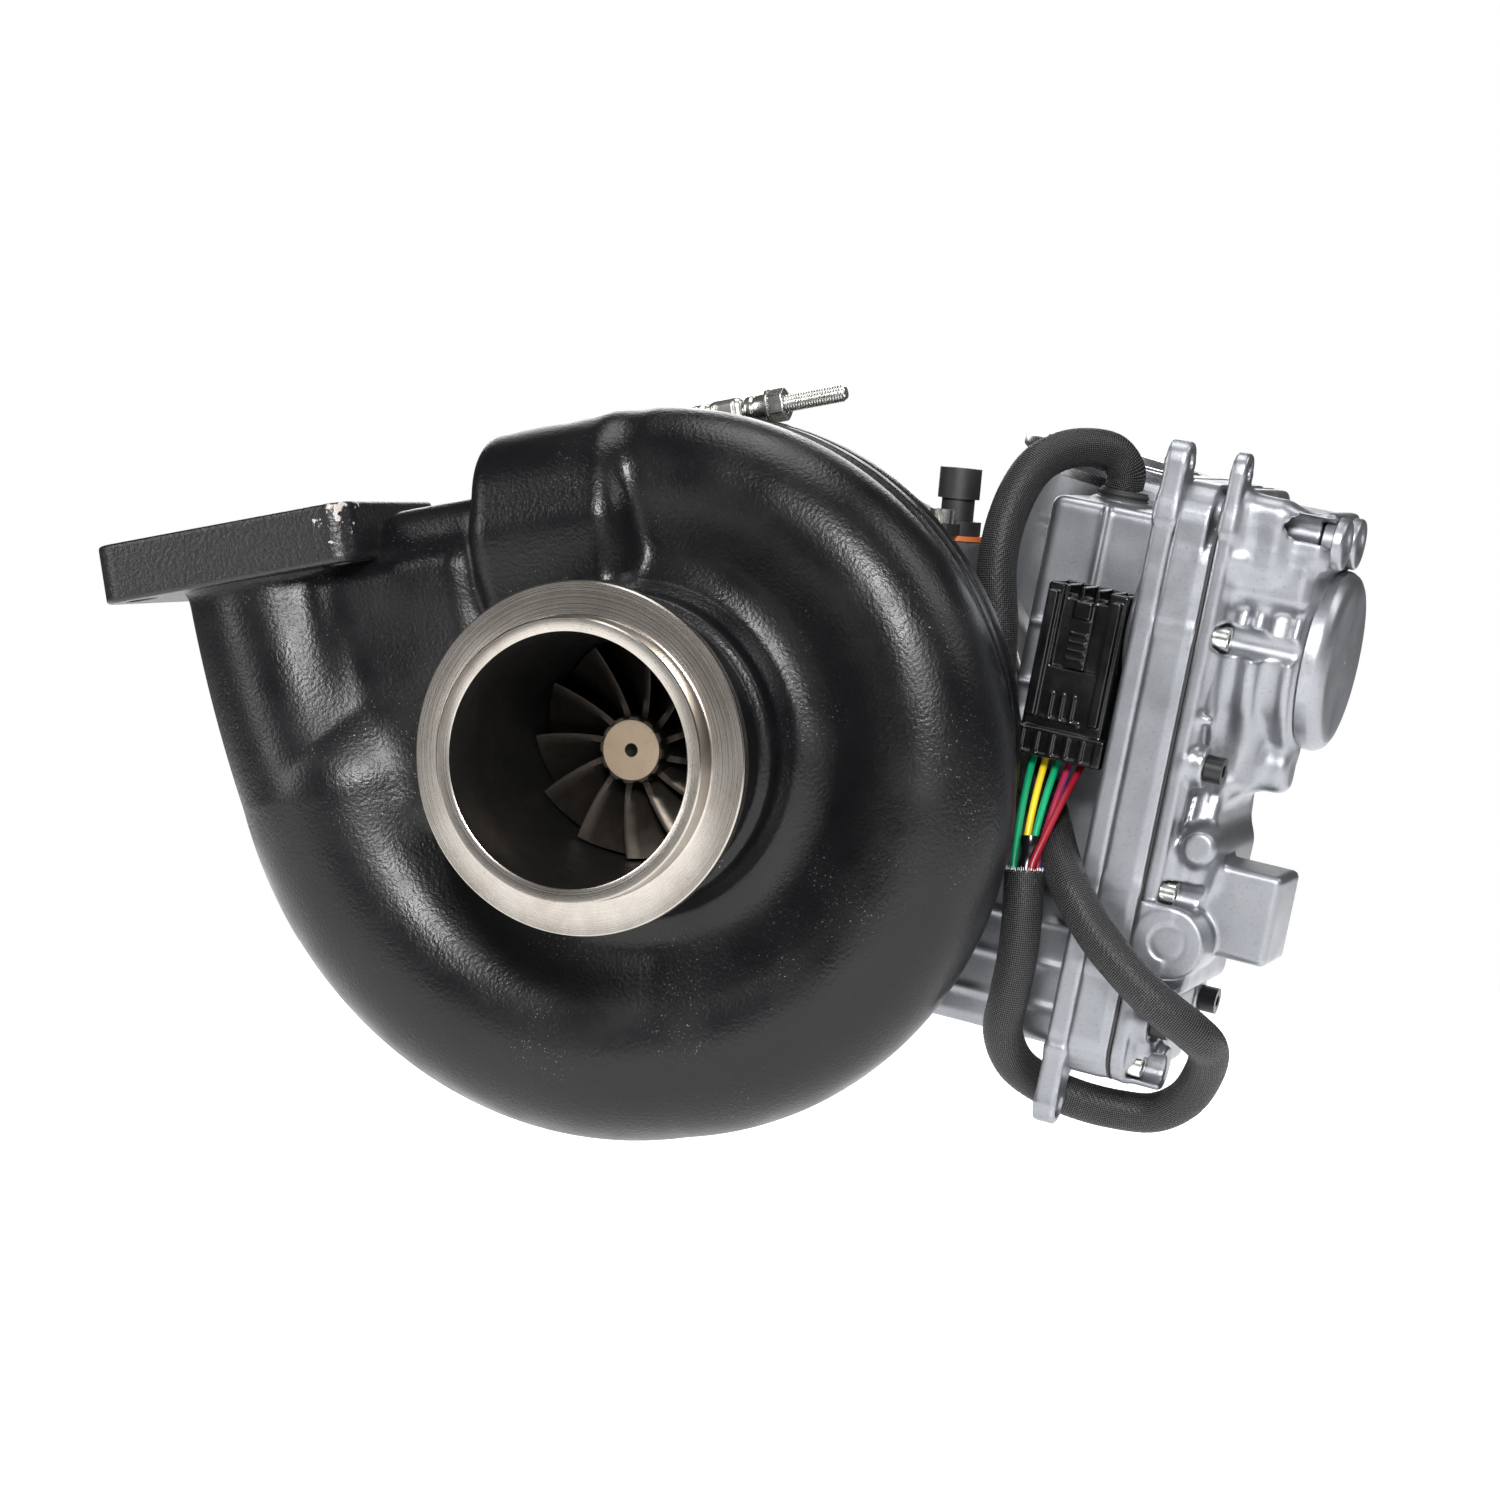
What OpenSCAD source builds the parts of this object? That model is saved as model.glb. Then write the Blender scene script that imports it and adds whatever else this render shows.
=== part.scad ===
// Variable-geometry turbocharger with an electric nozzle actuator.
// Origin: rotor axis at the face of the turbine outlet's V-band flange.
// +Y runs along the rotor from turbine to compressor, +Z is the normal of the turbine inlet flange.

/* [Turbine housing] */
// Radius of the outlet V-band flange
outlet_flange_r = 58.5; // [57:0.5:60]
// Radius of the outlet bore
outlet_bore_r = 42.2; // [41.5:0.1:43]
// Radius of the rear rim that the clamp band grips
rim_r = 115.5; // [115:0.5:117]
// Outer radius of the volute at its small end
volute_end_r = 117; // [116:0.5:119]
// Tube radius of the volute at the inlet
volute_tube_big = 40; // [38:0.5:41]
// Tube radius of the volute at its small end
volute_tube_small = 24; // [23:0.5:25]
// Wall thickness of the volute
volute_wall = 6; // [5:0.5:6.5]
// Number of nozzle vanes
vane_count = 17; // [11:1:19]

/* [Turbine inlet flange] */
// Width of the inlet flange
inlet_w = 102; // [100:1:104]
// Depth of the inlet flange
inlet_d = 78; // [76:1:80]
// Thickness of the inlet flange
inlet_t = 21; // [16:1:24]
// Bolt spacing across the width
inlet_bolt_x = 79; // [78:1:80]
// Bolt spacing across the depth
inlet_bolt_y = 55; // [54:1:56]
// Radius of the bolt holes
inlet_hole_r = 5.5; // [4:0.5:6]

/* [Rotor] */
// Number of turbine blades
turbine_blades = 12; // [9:1:13]
// Number of compressor blades, full and splitter together
compressor_blades = 12; // [10:2:14]
// Journal radius of the shaft
journal_r = 7; // [6.5:0.1:7.2]
// Radial clearance of every running fit
running_fit = 0.05; // [0.02:0.01:0.08]

/* [Compressor] */
// Radius of the compressor inlet spigot
comp_inlet_r = 50; // [48:0.5:52]
// Radius of the discharge flange
discharge_flange_r = 40; // [39:0.5:42]
// Bore radius of the discharge
discharge_bore_r = 31; // [29:0.5:32]

/* [Actuator] */
// Tilt of the actuator about the rotor axis
act_tilt = 21; // [21:0.5:21.5]
// Radius of the motor cap
motor_cap_r = 32; // [30:0.5:32]
// Radius of the round plugs on the electronics box
round_plug_r = 9; // [8:0.5:9.5]

/* [Harness] */
// Diameter of the braided sleeve
sleeve_d = 14; // [12:1:15]
// Diameter of one wire
wire_d = 2.6; // [2:0.2:2.8]

/* [Hidden] */
$fn = 64;
volute_y = 77;
volute_bulge = 23;
inlet_c = [-140, 78];
inlet_top = 101;
motor_w = 71.25;
idler_w = 27;
cross_w = -52;
screw_spots = [
    [130, 116], [126.8, 74], [126.8, -16], [126.8, -46], [131, -78],
    [200, 116], [203.2, 74], [203.2, -16], [203.2, -46], [199, -78]
];
socket_spots = [[129, 29], [129, -62], [201, 29], [201, -62]];
cross_y = 165;
rod_u = 60;
plate_u = [143.5, 151.5, 166, 170];
front_y = 121;
back_y = 209;
coolant_ports = [[152, 40], [175, 14]];
discharge_tilt = 25.7;
discharge_off = 86;
discharge_len = 131;
discharge_tube = 36;
scroll_front = 222;
tongue_angle = 46;
discharge_y = scroll_front + discharge_tube;
sleeve_route = [
    [148, 188, 66], [150, 187, 72], [147, 184, 79], [140, 178, 82], [132, 171, 82], [124, 163, 78],
    [117, 157, 69], [111, 152, 56], [107, 150, 42], [105, 150, 26], [102, 151, 12], [100, 152, -1],
    [100, 152, -13], [104, 151, -25], [112, 146, -38], [117, 135, -49], [121, 124, -58],
    [126, 113, -68], [135, 108, -88], [150, 106, -110], [162, 112, -125], [163, 124, -133],
    [157, 136, -142], [147, 144, -151], [134, 148, -155], [120, 147, -152], [107, 143, -146],
    [96, 139, -138], [91, 131, -129], [92, 121, -117], [98, 115, -105], [104, 113, -91],
    [108, 113, -77], [111, 114, -62]
];
wire_starts = [[-4, 0], [-1.5, 3], [1.5, 0], [4, 3], [3.5, -2.5]];
gland_place = [115, 188];
mount_spots = [[150, -74], [183, -74], [168, 12], [184, 12]];

// Shapes laid along the rotor axis or in the actuator's tilted frame.
module act() { rotate([0, act_tilt, 0]) children(); }
module ycyl(r, y0, y1, x = 0, z = 0) {
    translate([x, y0, z]) rotate([-90, 0, 0]) cylinder(r = r, h = y1 - y0);
}
module ucyl(r, u0, u1, y, w) { translate([u0, y, w]) rotate([0, 90, 0]) cylinder(r = r, h = u1 - u0); }
module wcyl(r, w0, w1, u, y) { translate([u, y, w0]) cylinder(r = r, h = w1 - w0); }
module box(lo, hi) { translate(lo) cube(hi - lo); }
// A profile of [radius, distance along Y] turned about the rotor axis.
module turned(profile) { rotate([-90, 0, 0]) rotate_extrude($fn = 96) polygon(profile); }
// An outline in [y, w] made into a plate from u0 to u1.
module plate(u0, u1) { translate([u0, 0, 0]) rotate([90, 0, 90]) linear_extrude(u1 - u0) children(); }
module rounded(lo, hi, r) {
    translate([lo[0] + r, lo[1]]) square([hi[0] - lo[0] - 2 * r, hi[1] - lo[1]]);
    translate([lo[0], lo[1] + r]) square([hi[0] - lo[0], hi[1] - lo[1] - 2 * r]);
    for (x = [lo[0] + r, hi[0] - r], y = [lo[1] + r, hi[1] - r]) translate([x, y]) circle(r);
}

// A closed skin over rings of equally many points.
function ring(c, out, a, b, m) =
    [for (j = [0:m - 1]) c + a * cos(360 * j / m) * out + b * sin(360 * j / m) * [0, 1, 0]];
function skin_faces(n, m) = concat(
    [[for (j = [0:m - 1]) j]],
    [[for (j = [m - 1:-1:0]) (n - 1) * m + j]],
    [for (i = [0:n - 2], j = [0:m - 1]) [i * m + j, (i + 1) * m + j, i * m + (j + 1) % m]],
    [for (i = [0:n - 2], j = [0:m - 1]) [i * m + (j + 1) % m, (i + 1) * m + j, (i + 1) * m + (j + 1) % m]]
);
module skin(rings) {
    polyhedron([for (r = rings, p = r) p], skin_faces(len(rings), len(rings[0])), convexity = 8);
}

// Turbine volute: outer radius, tube radius and channel radius over the wrap angle.
function volute_fade(t) = let (p = min(1, max(0, (t - 235) / 210))) (1 + cos(180 * p)) / 2;
function volute_swell(t) = let (p = min(1, (t - 180) / 85)) volute_bulge * pow(1 - p, 1.1);
function volute_r(t) = volute_end_r + 21 * volute_fade(t) + volute_swell(t);
function volute_tube(t) = volute_tube_big + (volute_tube_small - volute_tube_big) * (t - 180) / 260;
function channel_tube(t) = min((volute_r(t) - volute_wall - 80) / 2, volute_tube(t) - volute_wall);
function volute_ring(t, inset, m) =
    let (tube = inset > 0 ? channel_tube(t) : volute_tube(t),
         r = volute_r(t) - inset - tube,
         out = [cos(t), 0, sin(t)])
    ring(r * out + [0, volute_y + (inset > 0 ? 7 * (t - 180) / 260 : 0), 0], out, tube, tube, m);
function pipe_ring(s, inset, m) =
    let (tube = 31.5 + (volute_tube(180) - 31.5) * s * s,
         x = inlet_c[0] + (volute_tube(180) - volute_r(180) - inlet_c[0]) * s * s)
    ring([x, inlet_c[1] + (volute_y - inlet_c[1]) * s, 96 * (1 - s)], [-1, 0, 0], tube - inset,
         tube - inset, m);
function volute_rings(inset, m) = concat(
    [for (s = [0:0.25:0.9]) pipe_ring(s, inset, m)],
    [for (t = [180:10:440 - inset]) volute_ring(t, inset, m)]
);

module turbine_housing() {
    color("#1b1c1e") difference() {
        union() {
            skin(volute_rings(0, 16));
            turned([[0, -9], [47, -9], [47, 0], [outlet_flange_r, 0], [outlet_flange_r, 5], [50.5, 12],
                    [50.5, 36], [54, 38], [54, 46], [58, 52], [70, 58], [92, 62], [92, 104],
                    [rim_r, 108], [rim_r, 115], [rim_r - 2, 116], [rim_r - 2, 118], [rim_r, 119],
                    [rim_r, 124], [104.6, 124], [104.6, 127.4], [0, 127.4]]);
            translate([inlet_c[0] - inlet_w / 2, inlet_c[1] - inlet_d / 2, inlet_top - inlet_t])
                linear_extrude(inlet_t) rounded([0, 0], [inlet_w, inlet_d], 9);
            tongue_boss();
            box([-112, 52, -12], [-52, 104, 80.5]);
        }
        skin(concat([pipe_ring(-0.2, volute_wall, 16)], volute_rings(volute_wall, 16)));
        turned([[0, -10], [outlet_bore_r, -10], [outlet_bore_r, 15], [38.7, 48], [38.7, 60], [39.6, 68],
                [42.5, 75], [47.2, 81], [86, 81], [86, 128], [0, 128]]);
        turned([[53, 60], [75, 60], [75, 76.5], [79, 76.5], [79, 82], [50.5, 82], [50.5, 76.5], [53, 76.5]]);
        for (x = [-1, 1], y = [-1, 1])
            translate([inlet_c[0] + x * inlet_bolt_x / 2, inlet_c[1] + y * inlet_bolt_y / 2, inlet_top - 40])
                cylinder(r = inlet_hole_r, h = 50);
        ycyl(1.5, -1, 3, x = 50.5, z = -14);
        ycyl(1.5, -1, 3, x = -46, z = -26);
    }
}
// Flat-sided hump above the outlet, where the volute's tail meets the inlet.
module tongue_boss() {
    box([-45, 36, 58], [6, 104, 90]);
    translate([-45, 76, 84]) rotate([0, 90, 0]) cylinder(r = 32.5, h = 60);
    box([-90, 60, 62], [-30, 103.5, 97]);
}

module turbine_wheel() {
    color("#6e5b48") union() {
        difference() {
            turned([[0, 47], [11.8, 47], [11.8, 55], [13, 68], [17, 80], [26, 90], [38, 95.5], [44.8, 96.5],
                    [44.8, 98], [20, 99.5], [13, 99.5], [13, 112], [0, 112]]);
            ycyl(2.2, 46, 51);
            for (a = [0:30:330]) rotate([0, a, 0]) ycyl(1.1, 46, 52, x = 12.4);
            turned([[11.2, 106], [14, 106], [14, 108], [11.2, 108]]);
        }
        intersection() {
            turned([[6, 52], [37.9, 52], [37.9, 60], [38.9, 68.5], [41.8, 75.5], [44.8, 80.5], [44.8, 97],
                    [6, 97]]);
            for (i = [0:turbine_blades - 1]) rotate([0, i * 360 / turbine_blades, 0])
                translate([0, 76, 8]) rotate([0, 0, 30]) translate([-0.9, -40, 0]) cube([1.8, 80, 40]);
        }
    }
}
module rotor_shaft() {
    color("silver") difference() {
        turned([[0, 112], [11, 112], [11, 122], [journal_r, 124], [journal_r, 190], [5, 190], [5, 274],
                [0, 274]]);
        turned([[10, 115], [12, 115], [12, 117], [10, 117]]);
    }
}

module nozzle_ring() {
    color("#8a8178") union() {
        difference() {
            turned([[47.6, 92], [79.4, 92], [79.4, 108], [76.5, 108], [76.5, 98], [50.5, 98], [50.5, 108],
                    [47.6, 108]]);
            for (s = [-1, 1]) rotate([0, act_tilt, 0]) ycyl(3, 90, 100, x = s * rod_u);
        }
        for (i = [0:vane_count - 1]) rotate([0, i * 360 / vane_count, 0]) vane(0);
    }
}
module vane(gap) {
    translate([64, 69 - gap, 0]) rotate([0, 52, 0]) rotate([-90, 0, 0])
        linear_extrude(23.5 + gap) {
            translate([-6, 0]) circle(2 + gap, $fn = 32);
            polygon([[-6, 2 + gap], [9 + gap, 0.6 + gap], [9 + gap, -0.6 - gap], [-6, -2 - gap]]);
        }
}
module shroud_plate() {
    color("#7c756e") difference() {
        turned([[50.7, 76.6], [78.8, 76.6], [78.8, 80.6], [50.7, 80.6]]);
        for (i = [0:vane_count - 1]) rotate([0, i * 360 / vane_count, 0]) vane(0.5);
    }
}
module push_rods() {
    color("#a9a39a") rotate([0, act_tilt, 0]) for (s = [-1, 1]) {
        ycyl(2.95, 92.8, 100, x = s * rod_u);
        ycyl(4.5, 99, 156, x = s * rod_u);
        difference() {
            box([s * rod_u - 6, 155, -9], [s * rod_u + 6, 175, 9]);
            box([s * rod_u - 7, cross_y - 4.4, -7.4], [s * rod_u + 7, cross_y + 4.4, 10]);
        }
    }
}
module rod_bushes() {
    color("#b08d57") rotate([0, act_tilt, 0]) for (s = [-1, 1]) difference() {
        ycyl(6.5, 125, 137, x = s * rod_u);
        ycyl(4.5 + running_fit, 124, 138, x = s * rod_u);
    }
}
module heat_shield() {
    color("#8f8a83")
        turned([[16, 100.6], [45.4, 100.6], [45.4, 103.6], [44, 103.6], [44, 101.8], [16, 101.8]]);
}

module clamp_band(r, y0, y1, gap) {
    rotate([0, 90 - gap, 0]) rotate([-90, 0, 0]) rotate_extrude(angle = 360 - gap, $fn = 96)
        polygon([[r, y0], [r + 1.6, y0], [r + 5, y0 + 3.5], [r + 5, y1 - 3.5], [r + 1.6, y1], [r, y1],
                 [r, y1 - 0.8], [r + 3.4, y1 - 4.4], [r + 3.4, y0 + 4.4], [r, y0 + 0.8]]);
}
module turbine_clamp_band() {
    color("#8d8f92") {
        clamp_band(105.2, 125, 138, 8);
        difference() {
            box([17.9, 126.5, 106], [30, 136.5, 119]);
            translate([10, 131.5, 113.5]) rotate([0, 90, 0]) cylinder(r = 3.4, h = 30);
            turned([[0, 120], [108.8, 120], [108.8, 140], [0, 140]]);
        }
    }
}
module t_bolt(len) {
    rotate([0, 90, 0]) cylinder(r = 3.1, h = len);
    translate([-1, 0, -2.6]) cylinder(r = 4.4, h = 7.6);
}
module nut_and_barrel() {
    difference() {
        union() {
            rotate([0, 90, 0]) cylinder(r = 5.2, h = 8);
            translate([9, 0, 0]) rotate([0, 90, 0]) cylinder(r = 6.2, h = 6, $fn = 6);
            translate([8, 0, 0]) rotate([0, 90, 0]) cylinder(r = 6.4, h = 1.2);
        }
        translate([-1, 0, 0]) rotate([0, 90, 0]) cylinder(r = 3.25, h = 20);
    }
}
module turbine_clamp_bolt() { color("#c9ccc6") translate([14, 131.5, 113.5]) t_bolt(54); }
module turbine_clamp_nut() { color("#c9ccc6") translate([30.4, 131.5, 113.5]) nut_and_barrel(); }

module bearing_housing() {
    color("#3a3c3f") difference() {
        union() {
            turned([[0, 104], [46.9, 104], [46.9, 124.6], [80.3, 124.6], [80.3, 104], [85.6, 104],
                    [85.6, 127.6], [104.6, 127.6], [104.6, 131.5], [98, 137.4], [84, 137.4], [84, 192],
                    [95, 199], [95, 206], [0, 206]]);
            act() box([60, 143, -84], [85.8, 193, 24]);
            act() box([-70, 142, -84], [70, 188, -20]);
            act() ucyl(15, -90, -60, cross_y, cross_w);
            for (c = coolant_ports) translate([-93, c[0], c[1]]) rotate([0, 90, 0]) cylinder(r = 12, h = 30);
            sensor_place() translate([0, 0, -40]) cylinder(r = 11, h = 38);
            sensor_place() translate([0, -18, -40]) cylinder(r = 6, h = 39.8);
            translate([0, 168, 60]) cylinder(r = 17, h = 34);
            translate([0, 163, -96]) cylinder(r = 23, h = 40);
        }
        turned([[36, 137.4], [77, 137.4], [77, 190], [36, 190]]);
        act() box([-59, 148, -68], [62, 182, -30]);
        for (c = coolant_ports) translate([-94, c[0], c[1]]) rotate([0, 90, 0]) cylinder(r = 7, h = 13);
        turned([[0, 100], [13.25, 100], [13.25, 118], [14, 120], [14, 136], [11.06, 137], [11.06, 191],
                [24, 192], [24, 203], [34, 203], [34, 210], [0, 210]]);
        for (y = [138.5, 152.5, 174.5, 188.5]) turned([[10.5, y], [12, y], [12, y + 1.2], [10.5, y + 1.2]]);
        rotate([0, act_tilt, 0]) for (s = [-1, 1]) ycyl(6.5, 120, 140, x = s * rod_u);
        act() ucyl(10.05, 60, 90, cross_y, cross_w);
        act() ucyl(10.05, -84, -50, cross_y, cross_w);
        translate([0, 168, 79]) cylinder(r = 4, h = 10);
        translate([0, 168, 84]) cylinder(r = 6, h = 20);
        translate([0, 163, -100]) cylinder(r = 9, h = 14);
        for (x = [-1, 1]) translate([x * 17, 163, -100]) cylinder(r = 3.4, h = 14);
        act() for (p = mount_spots) ucyl(3.4, 66, 90, p[0], p[1]);
        sensor_place() translate([0, 0, -30]) cylinder(r = 7, h = 40);
        sensor_place() translate([0, -18, -20]) cylinder(r = 2.9, h = 22);
    }
}
module journal_bearings() {
    color("#b08d57") for (y = [140.2, 176.2]) difference() {
        ycyl(11.06 - running_fit, y, y + 11.8);
        ycyl(journal_r + running_fit, y - 1, y + 13);
        for (a = [0:60:300]) rotate([0, a, 0]) translate([0, y + 5.9, 0]) cylinder(r = 1.3, h = 15);
    }
}
module bearing_snap_rings() {
    color("#55585c") for (y = [138.5, 152.5, 174.5, 188.5]) rotate([-90, 0, 0])
        rotate_extrude(angle = 320)
            polygon([[8.4, y + 0.1], [11.9, y + 0.1], [11.9, y + 1.1], [8.4, y + 1.1]]);
}
module thrust_collar() {
    color("silver") turned([[5, 190], [9, 190], [9, 191.5], [12, 191.5], [12, 193], [9, 193], [9, 198.6],
                            [5, 198.6]]);
}
module thrust_bearing() {
    color("#b08d57") difference() {
        turned([[9.3, 193.2], [23.9, 193.2], [23.9, 198.2], [9.3, 198.2]]);
        box([-9.3, 190, -30], [9.3, 200, 0]);
    }
}
module oil_slinger() {
    color("silver") difference() {
        turned([[5, 198.6], [15, 198.6], [15, 200.4], [12.9, 200.4], [12.9, 214.6], [5, 214.6]]);
        turned([[11.4, 208.2], [14, 208.2], [14, 210], [11.4, 210]]);
    }
}
module piston_rings() {
    color("#45484c") {
        turned([[11.6, 106.3], [13.2, 106.3], [13.2, 107.7], [11.6, 107.7]]);
        turned([[11.6, 208.5], [13.1, 208.5], [13.1, 209.7], [11.6, 209.7]]);
    }
}
module seal_plate() {
    color("#c4c7ca") turned([[13.15, 203.2], [33.9, 203.2], [33.9, 206], [92, 206], [92, 214], [13.15, 214]]);
}
module sensor_place() { translate([88.5, 168, 59]) rotate([0, 15, 0]) children(); }
module speed_sensor() {
    color("#17181a") sensor_place() difference() {
        union() {
            translate([0, 0, -29]) cylinder(r = 6.8, h = 29);
            cylinder(r = 9, h = 5);
            translate([-4, -24, 0]) cube([8, 24, 4]);
            translate([0, 0, 5]) cylinder(r = 6, h = 9);
            translate([0, 0, 13]) cylinder(r = 7.6, h = 11);
        }
        translate([0, 0, 17]) cylinder(r = 6, h = 12);
        translate([0, -18, -4]) cylinder(r = 3, h = 12);
    }
}
module sensor_seal() {
    color("#c4622d") sensor_place() translate([0, 0, -2])
        rotate_extrude() polygon([[6.9, 0], [10.6, 0], [10.6, 1.8], [6.9, 1.8]]);
}
module sensor_screw() {
    color("#b9bcc0") sensor_place() translate([0, -18, 4.2]) {
        cylinder(r = 4.5, h = 5);
        translate([0, 0, -16]) cylinder(r = 2.8, h = 17);
    }
}

module compressor_wheel() {
    color("#c9ccd0") union() {
        turned([[5, 214.6], [20, 214.6], [48, 216], [48, 217.4], [36, 219], [22, 226], [14, 238], [11, 250],
                [9.5, 262], [5, 262]]);
        intersection() {
            turned([[7, 215.5], [48, 215.5], [48, 220.5], [44, 225], [38, 236], [36.5, 246], [36.5, 257],
                    [7, 257]]);
            for (i = [0:compressor_blades - 1]) rotate([0, i * 360 / compressor_blades, 0])
                translate([0, 236, 8]) rotate([0, 0, 34])
                    translate([-0.6, i % 2 == 0 ? -40 : -15, 0]) cube([1.2, i % 2 == 0 ? 70 : 45, 42]);
        }
    }
}
module compressor_nut() {
    color("#9ea2a6") difference() {
        union() {
            ycyl(9, 262, 264);
            translate([0, 263, 0]) rotate([-90, 0, 0]) cylinder(r = 8.6, h = 9, $fn = 6);
        }
        ycyl(5.05, 260, 280);
    }
}
scroll_small = 15;
scroll_sweep = 360 - discharge_tilt - tongue_angle;
function scroll_tube(t) = scroll_small + (discharge_tube - scroll_small) * (t - tongue_angle) / scroll_sweep;
function scroll_ring(t, inset, m) =
    let (full = scroll_tube(t), out = [cos(t), 0, sin(t)],
         r = 73 + (discharge_off - 73) * (full - scroll_small) / (discharge_tube - scroll_small))
    ring(r * out + [0, scroll_front + full, 0], out, full - inset, full - inset, m);
function discharge_ring(s, inset, m) =
    let (out = [cos(discharge_tilt), 0, -sin(discharge_tilt)],
         along = [sin(discharge_tilt), 0, cos(discharge_tilt)])
    ring(discharge_off * out + s * along + [0, discharge_y, 0], out, discharge_tube - inset,
         discharge_tube - inset, m);
function scroll_rings(inset, m) = concat(
    [for (t = [tongue_angle + inset:12:330]) scroll_ring(t, inset, m)],
    [for (s = [0, discharge_len - 30 + inset]) discharge_ring(s, inset, m)]
);
module discharge(r, s0, s1) {
    translate([discharge_off * cos(discharge_tilt), discharge_y, -discharge_off * sin(discharge_tilt)])
        rotate([0, discharge_tilt, 0]) translate([0, 0, s0]) cylinder(r = r, h = s1 - s0);
}
module compressor_cover() {
    color("#b4b8bc") difference() {
        union() {
            skin(scroll_rings(0, 16));
            turned([[0, 214.2], [92, 214.2], [97, 216], [97, 219], [76, 226], [76, 243], [64, 262],
                    [comp_inlet_r, 270], [comp_inlet_r, 303], [comp_inlet_r - 1, 304], [0, 304]]);
            discharge(discharge_flange_r, discharge_len - 6, discharge_len);
            discharge(35, discharge_len - 34, discharge_len - 5);
        }
        skin(scroll_rings(5, 16));
        discharge(discharge_bore_r + 0.6, discharge_len - 34, discharge_len + 1);
        turned([[0, 214], [72, 214], [72, 234], [65, 234], [65, 220.6], [49, 220.6], [44.4, 225.2],
                [38.4, 236.2], [36.9, 246], [36.9, 259], [40, 270], [44, 282], [44, 305], [0, 305]]);
    }
}
module comp_bolt_place() { rotate([0, -100, 0]) children(); }
module compressor_clamp_band() {
    color("#8d8f92") {
        difference() {
            clamp_band(95.2, 198, 220.6, 8);
            turned([[90, 190], [97.3, 190], [97.3, 230], [90, 230]]);
        }
        comp_bolt_place() difference() {
            box([17.9, 204, 98], [30, 214, 112]);
            translate([10, 209, 106.5]) rotate([0, 90, 0]) cylinder(r = 3.4, h = 30);
            turned([[0, 190], [99.2, 190], [99.2, 230], [0, 230]]);
        }
    }
}
module compressor_clamp_bolt() { color("#c9ccc6") comp_bolt_place() translate([14, 209, 106.5]) t_bolt(44); }
module compressor_clamp_nut() {
    color("#c9ccc6") comp_bolt_place() translate([30.4, 209, 106.5]) nut_and_barrel();
}

module cross_shaft() {
    color("silver") act() difference() {
        ucyl(8, -82.5, 162, cross_y, cross_w);
        ucyl(1.5, 155, 163, cross_y, cross_w);
    }
}
module cross_shaft_bushes() {
    color("#b08d57") act() for (u = [[-82, -61], [64, 85]]) difference() {
        ucyl(10.05, u[0], u[1], cross_y, cross_w);
        ucyl(8 + running_fit, u[0] - 1, u[1] + 1, cross_y, cross_w);
    }
}
module yoke() {
    color("#7d8084") act() difference() {
        union() {
            ucyl(13, -57, 60, cross_y, cross_w);
            for (s = [-1, 1]) hull() {
                ucyl(11, s * 50 - 3.5, s * 50 + 3.5, cross_y, cross_w, $fn = 32);
                ucyl(6, s * 50 - 3.5, s * 50 + 3.5, cross_y, 0, $fn = 32);
            }
        }
        ucyl(8, -90, 90, cross_y, cross_w);
        for (s = [-1, 1]) ucyl(3, s * 50 - 8, s * 50 + 8, cross_y, 0);
    }
}
module yoke_pins() {
    color("#a9a39a") act() for (s = [-1, 1]) {
        ucyl(3, s * 51 - 4.5, s * 51 + 4.5, cross_y, 0);
        ucyl(4, s * 60 - 5.5, s * 60 + 5.5, cross_y, 0);
    }
}

// A gear tooth ring in the [y, w] plane: trapezoid teeth, narrower at the tip.
tooth = [[-1.6, 0.27], [-0.2, 0.225], [0.8, 0.1], [0.8, -0.1], [-0.2, -0.225], [-1.6, -0.27]];
module gear_outline(teeth, m, phase, first, last) {
    r = teeth * m / 2;
    circle(r - 1.2 * m);
    for (i = [first:last]) rotate(phase + i * 360 / teeth)
        polygon([for (p = tooth) let (a = p[1] * 360 / teeth, rr = r + p[0] * m) [rr * cos(a), rr * sin(a)]]);
}
module sector_gear() {
    color("#6f7276") act() translate([0, cross_y, cross_w]) difference() {
        union() {
            plate(150, 158) intersection() {
                gear_outline(69, 2, 90, -3, 3);
                polygon([[0, 0], [-27.5, 75], [27.5, 75]]);
            }
            plate(146.5, 161) circle(15);
            plate(150, 158) polygon([[-14, -4], [-21, 60], [21, 60], [14, -4]]);
        }
        plate(140, 170) circle(8);
    }
}
module idler_gear() {
    color("#c9b37e") act() translate([0, cross_y, idler_w]) difference() {
        union() {
            plate(160.5, 167.5) gear_outline(48, 1.5, 90, 0, 47);
            plate(147.5, 161) gear_outline(10, 2, -72, 0, 9);
        }
        plate(140, 170) circle(4 + running_fit);
        for (a = [0:60:300]) plate(163, 170) rotate(a) translate([22, 0]) circle(6);
    }
}
module idler_spindle() { color("silver") act() ucyl(4, 145, 169.5, cross_y, idler_w); }
module motor_pinion() {
    color("#6f7276") act() translate([0, cross_y, motor_w]) difference() {
        union() {
            plate(160.5, 168) gear_outline(11, 1.5, -90 + 180 / 11, 0, 10);
            plate(160.5, 168) circle(6.6);
        }
        plate(150, 170) circle(3);
    }
}
module motor_rotor() {
    color("#505459") act() {
        ucyl(3, 158, 201, cross_y, motor_w);
        difference() {
            ucyl(12, 176, 196, cross_y, motor_w);
            ucyl(3, 170, 200, cross_y, motor_w);
        }
    }
}
module motor_bearings() {
    color("silver") act() for (u = [169, 197.6]) difference() {
        ucyl(7, u, u + 3.4, cross_y, motor_w);
        ucyl(3 + running_fit, u - 1, u + 5, cross_y, motor_w);
    }
}
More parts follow.
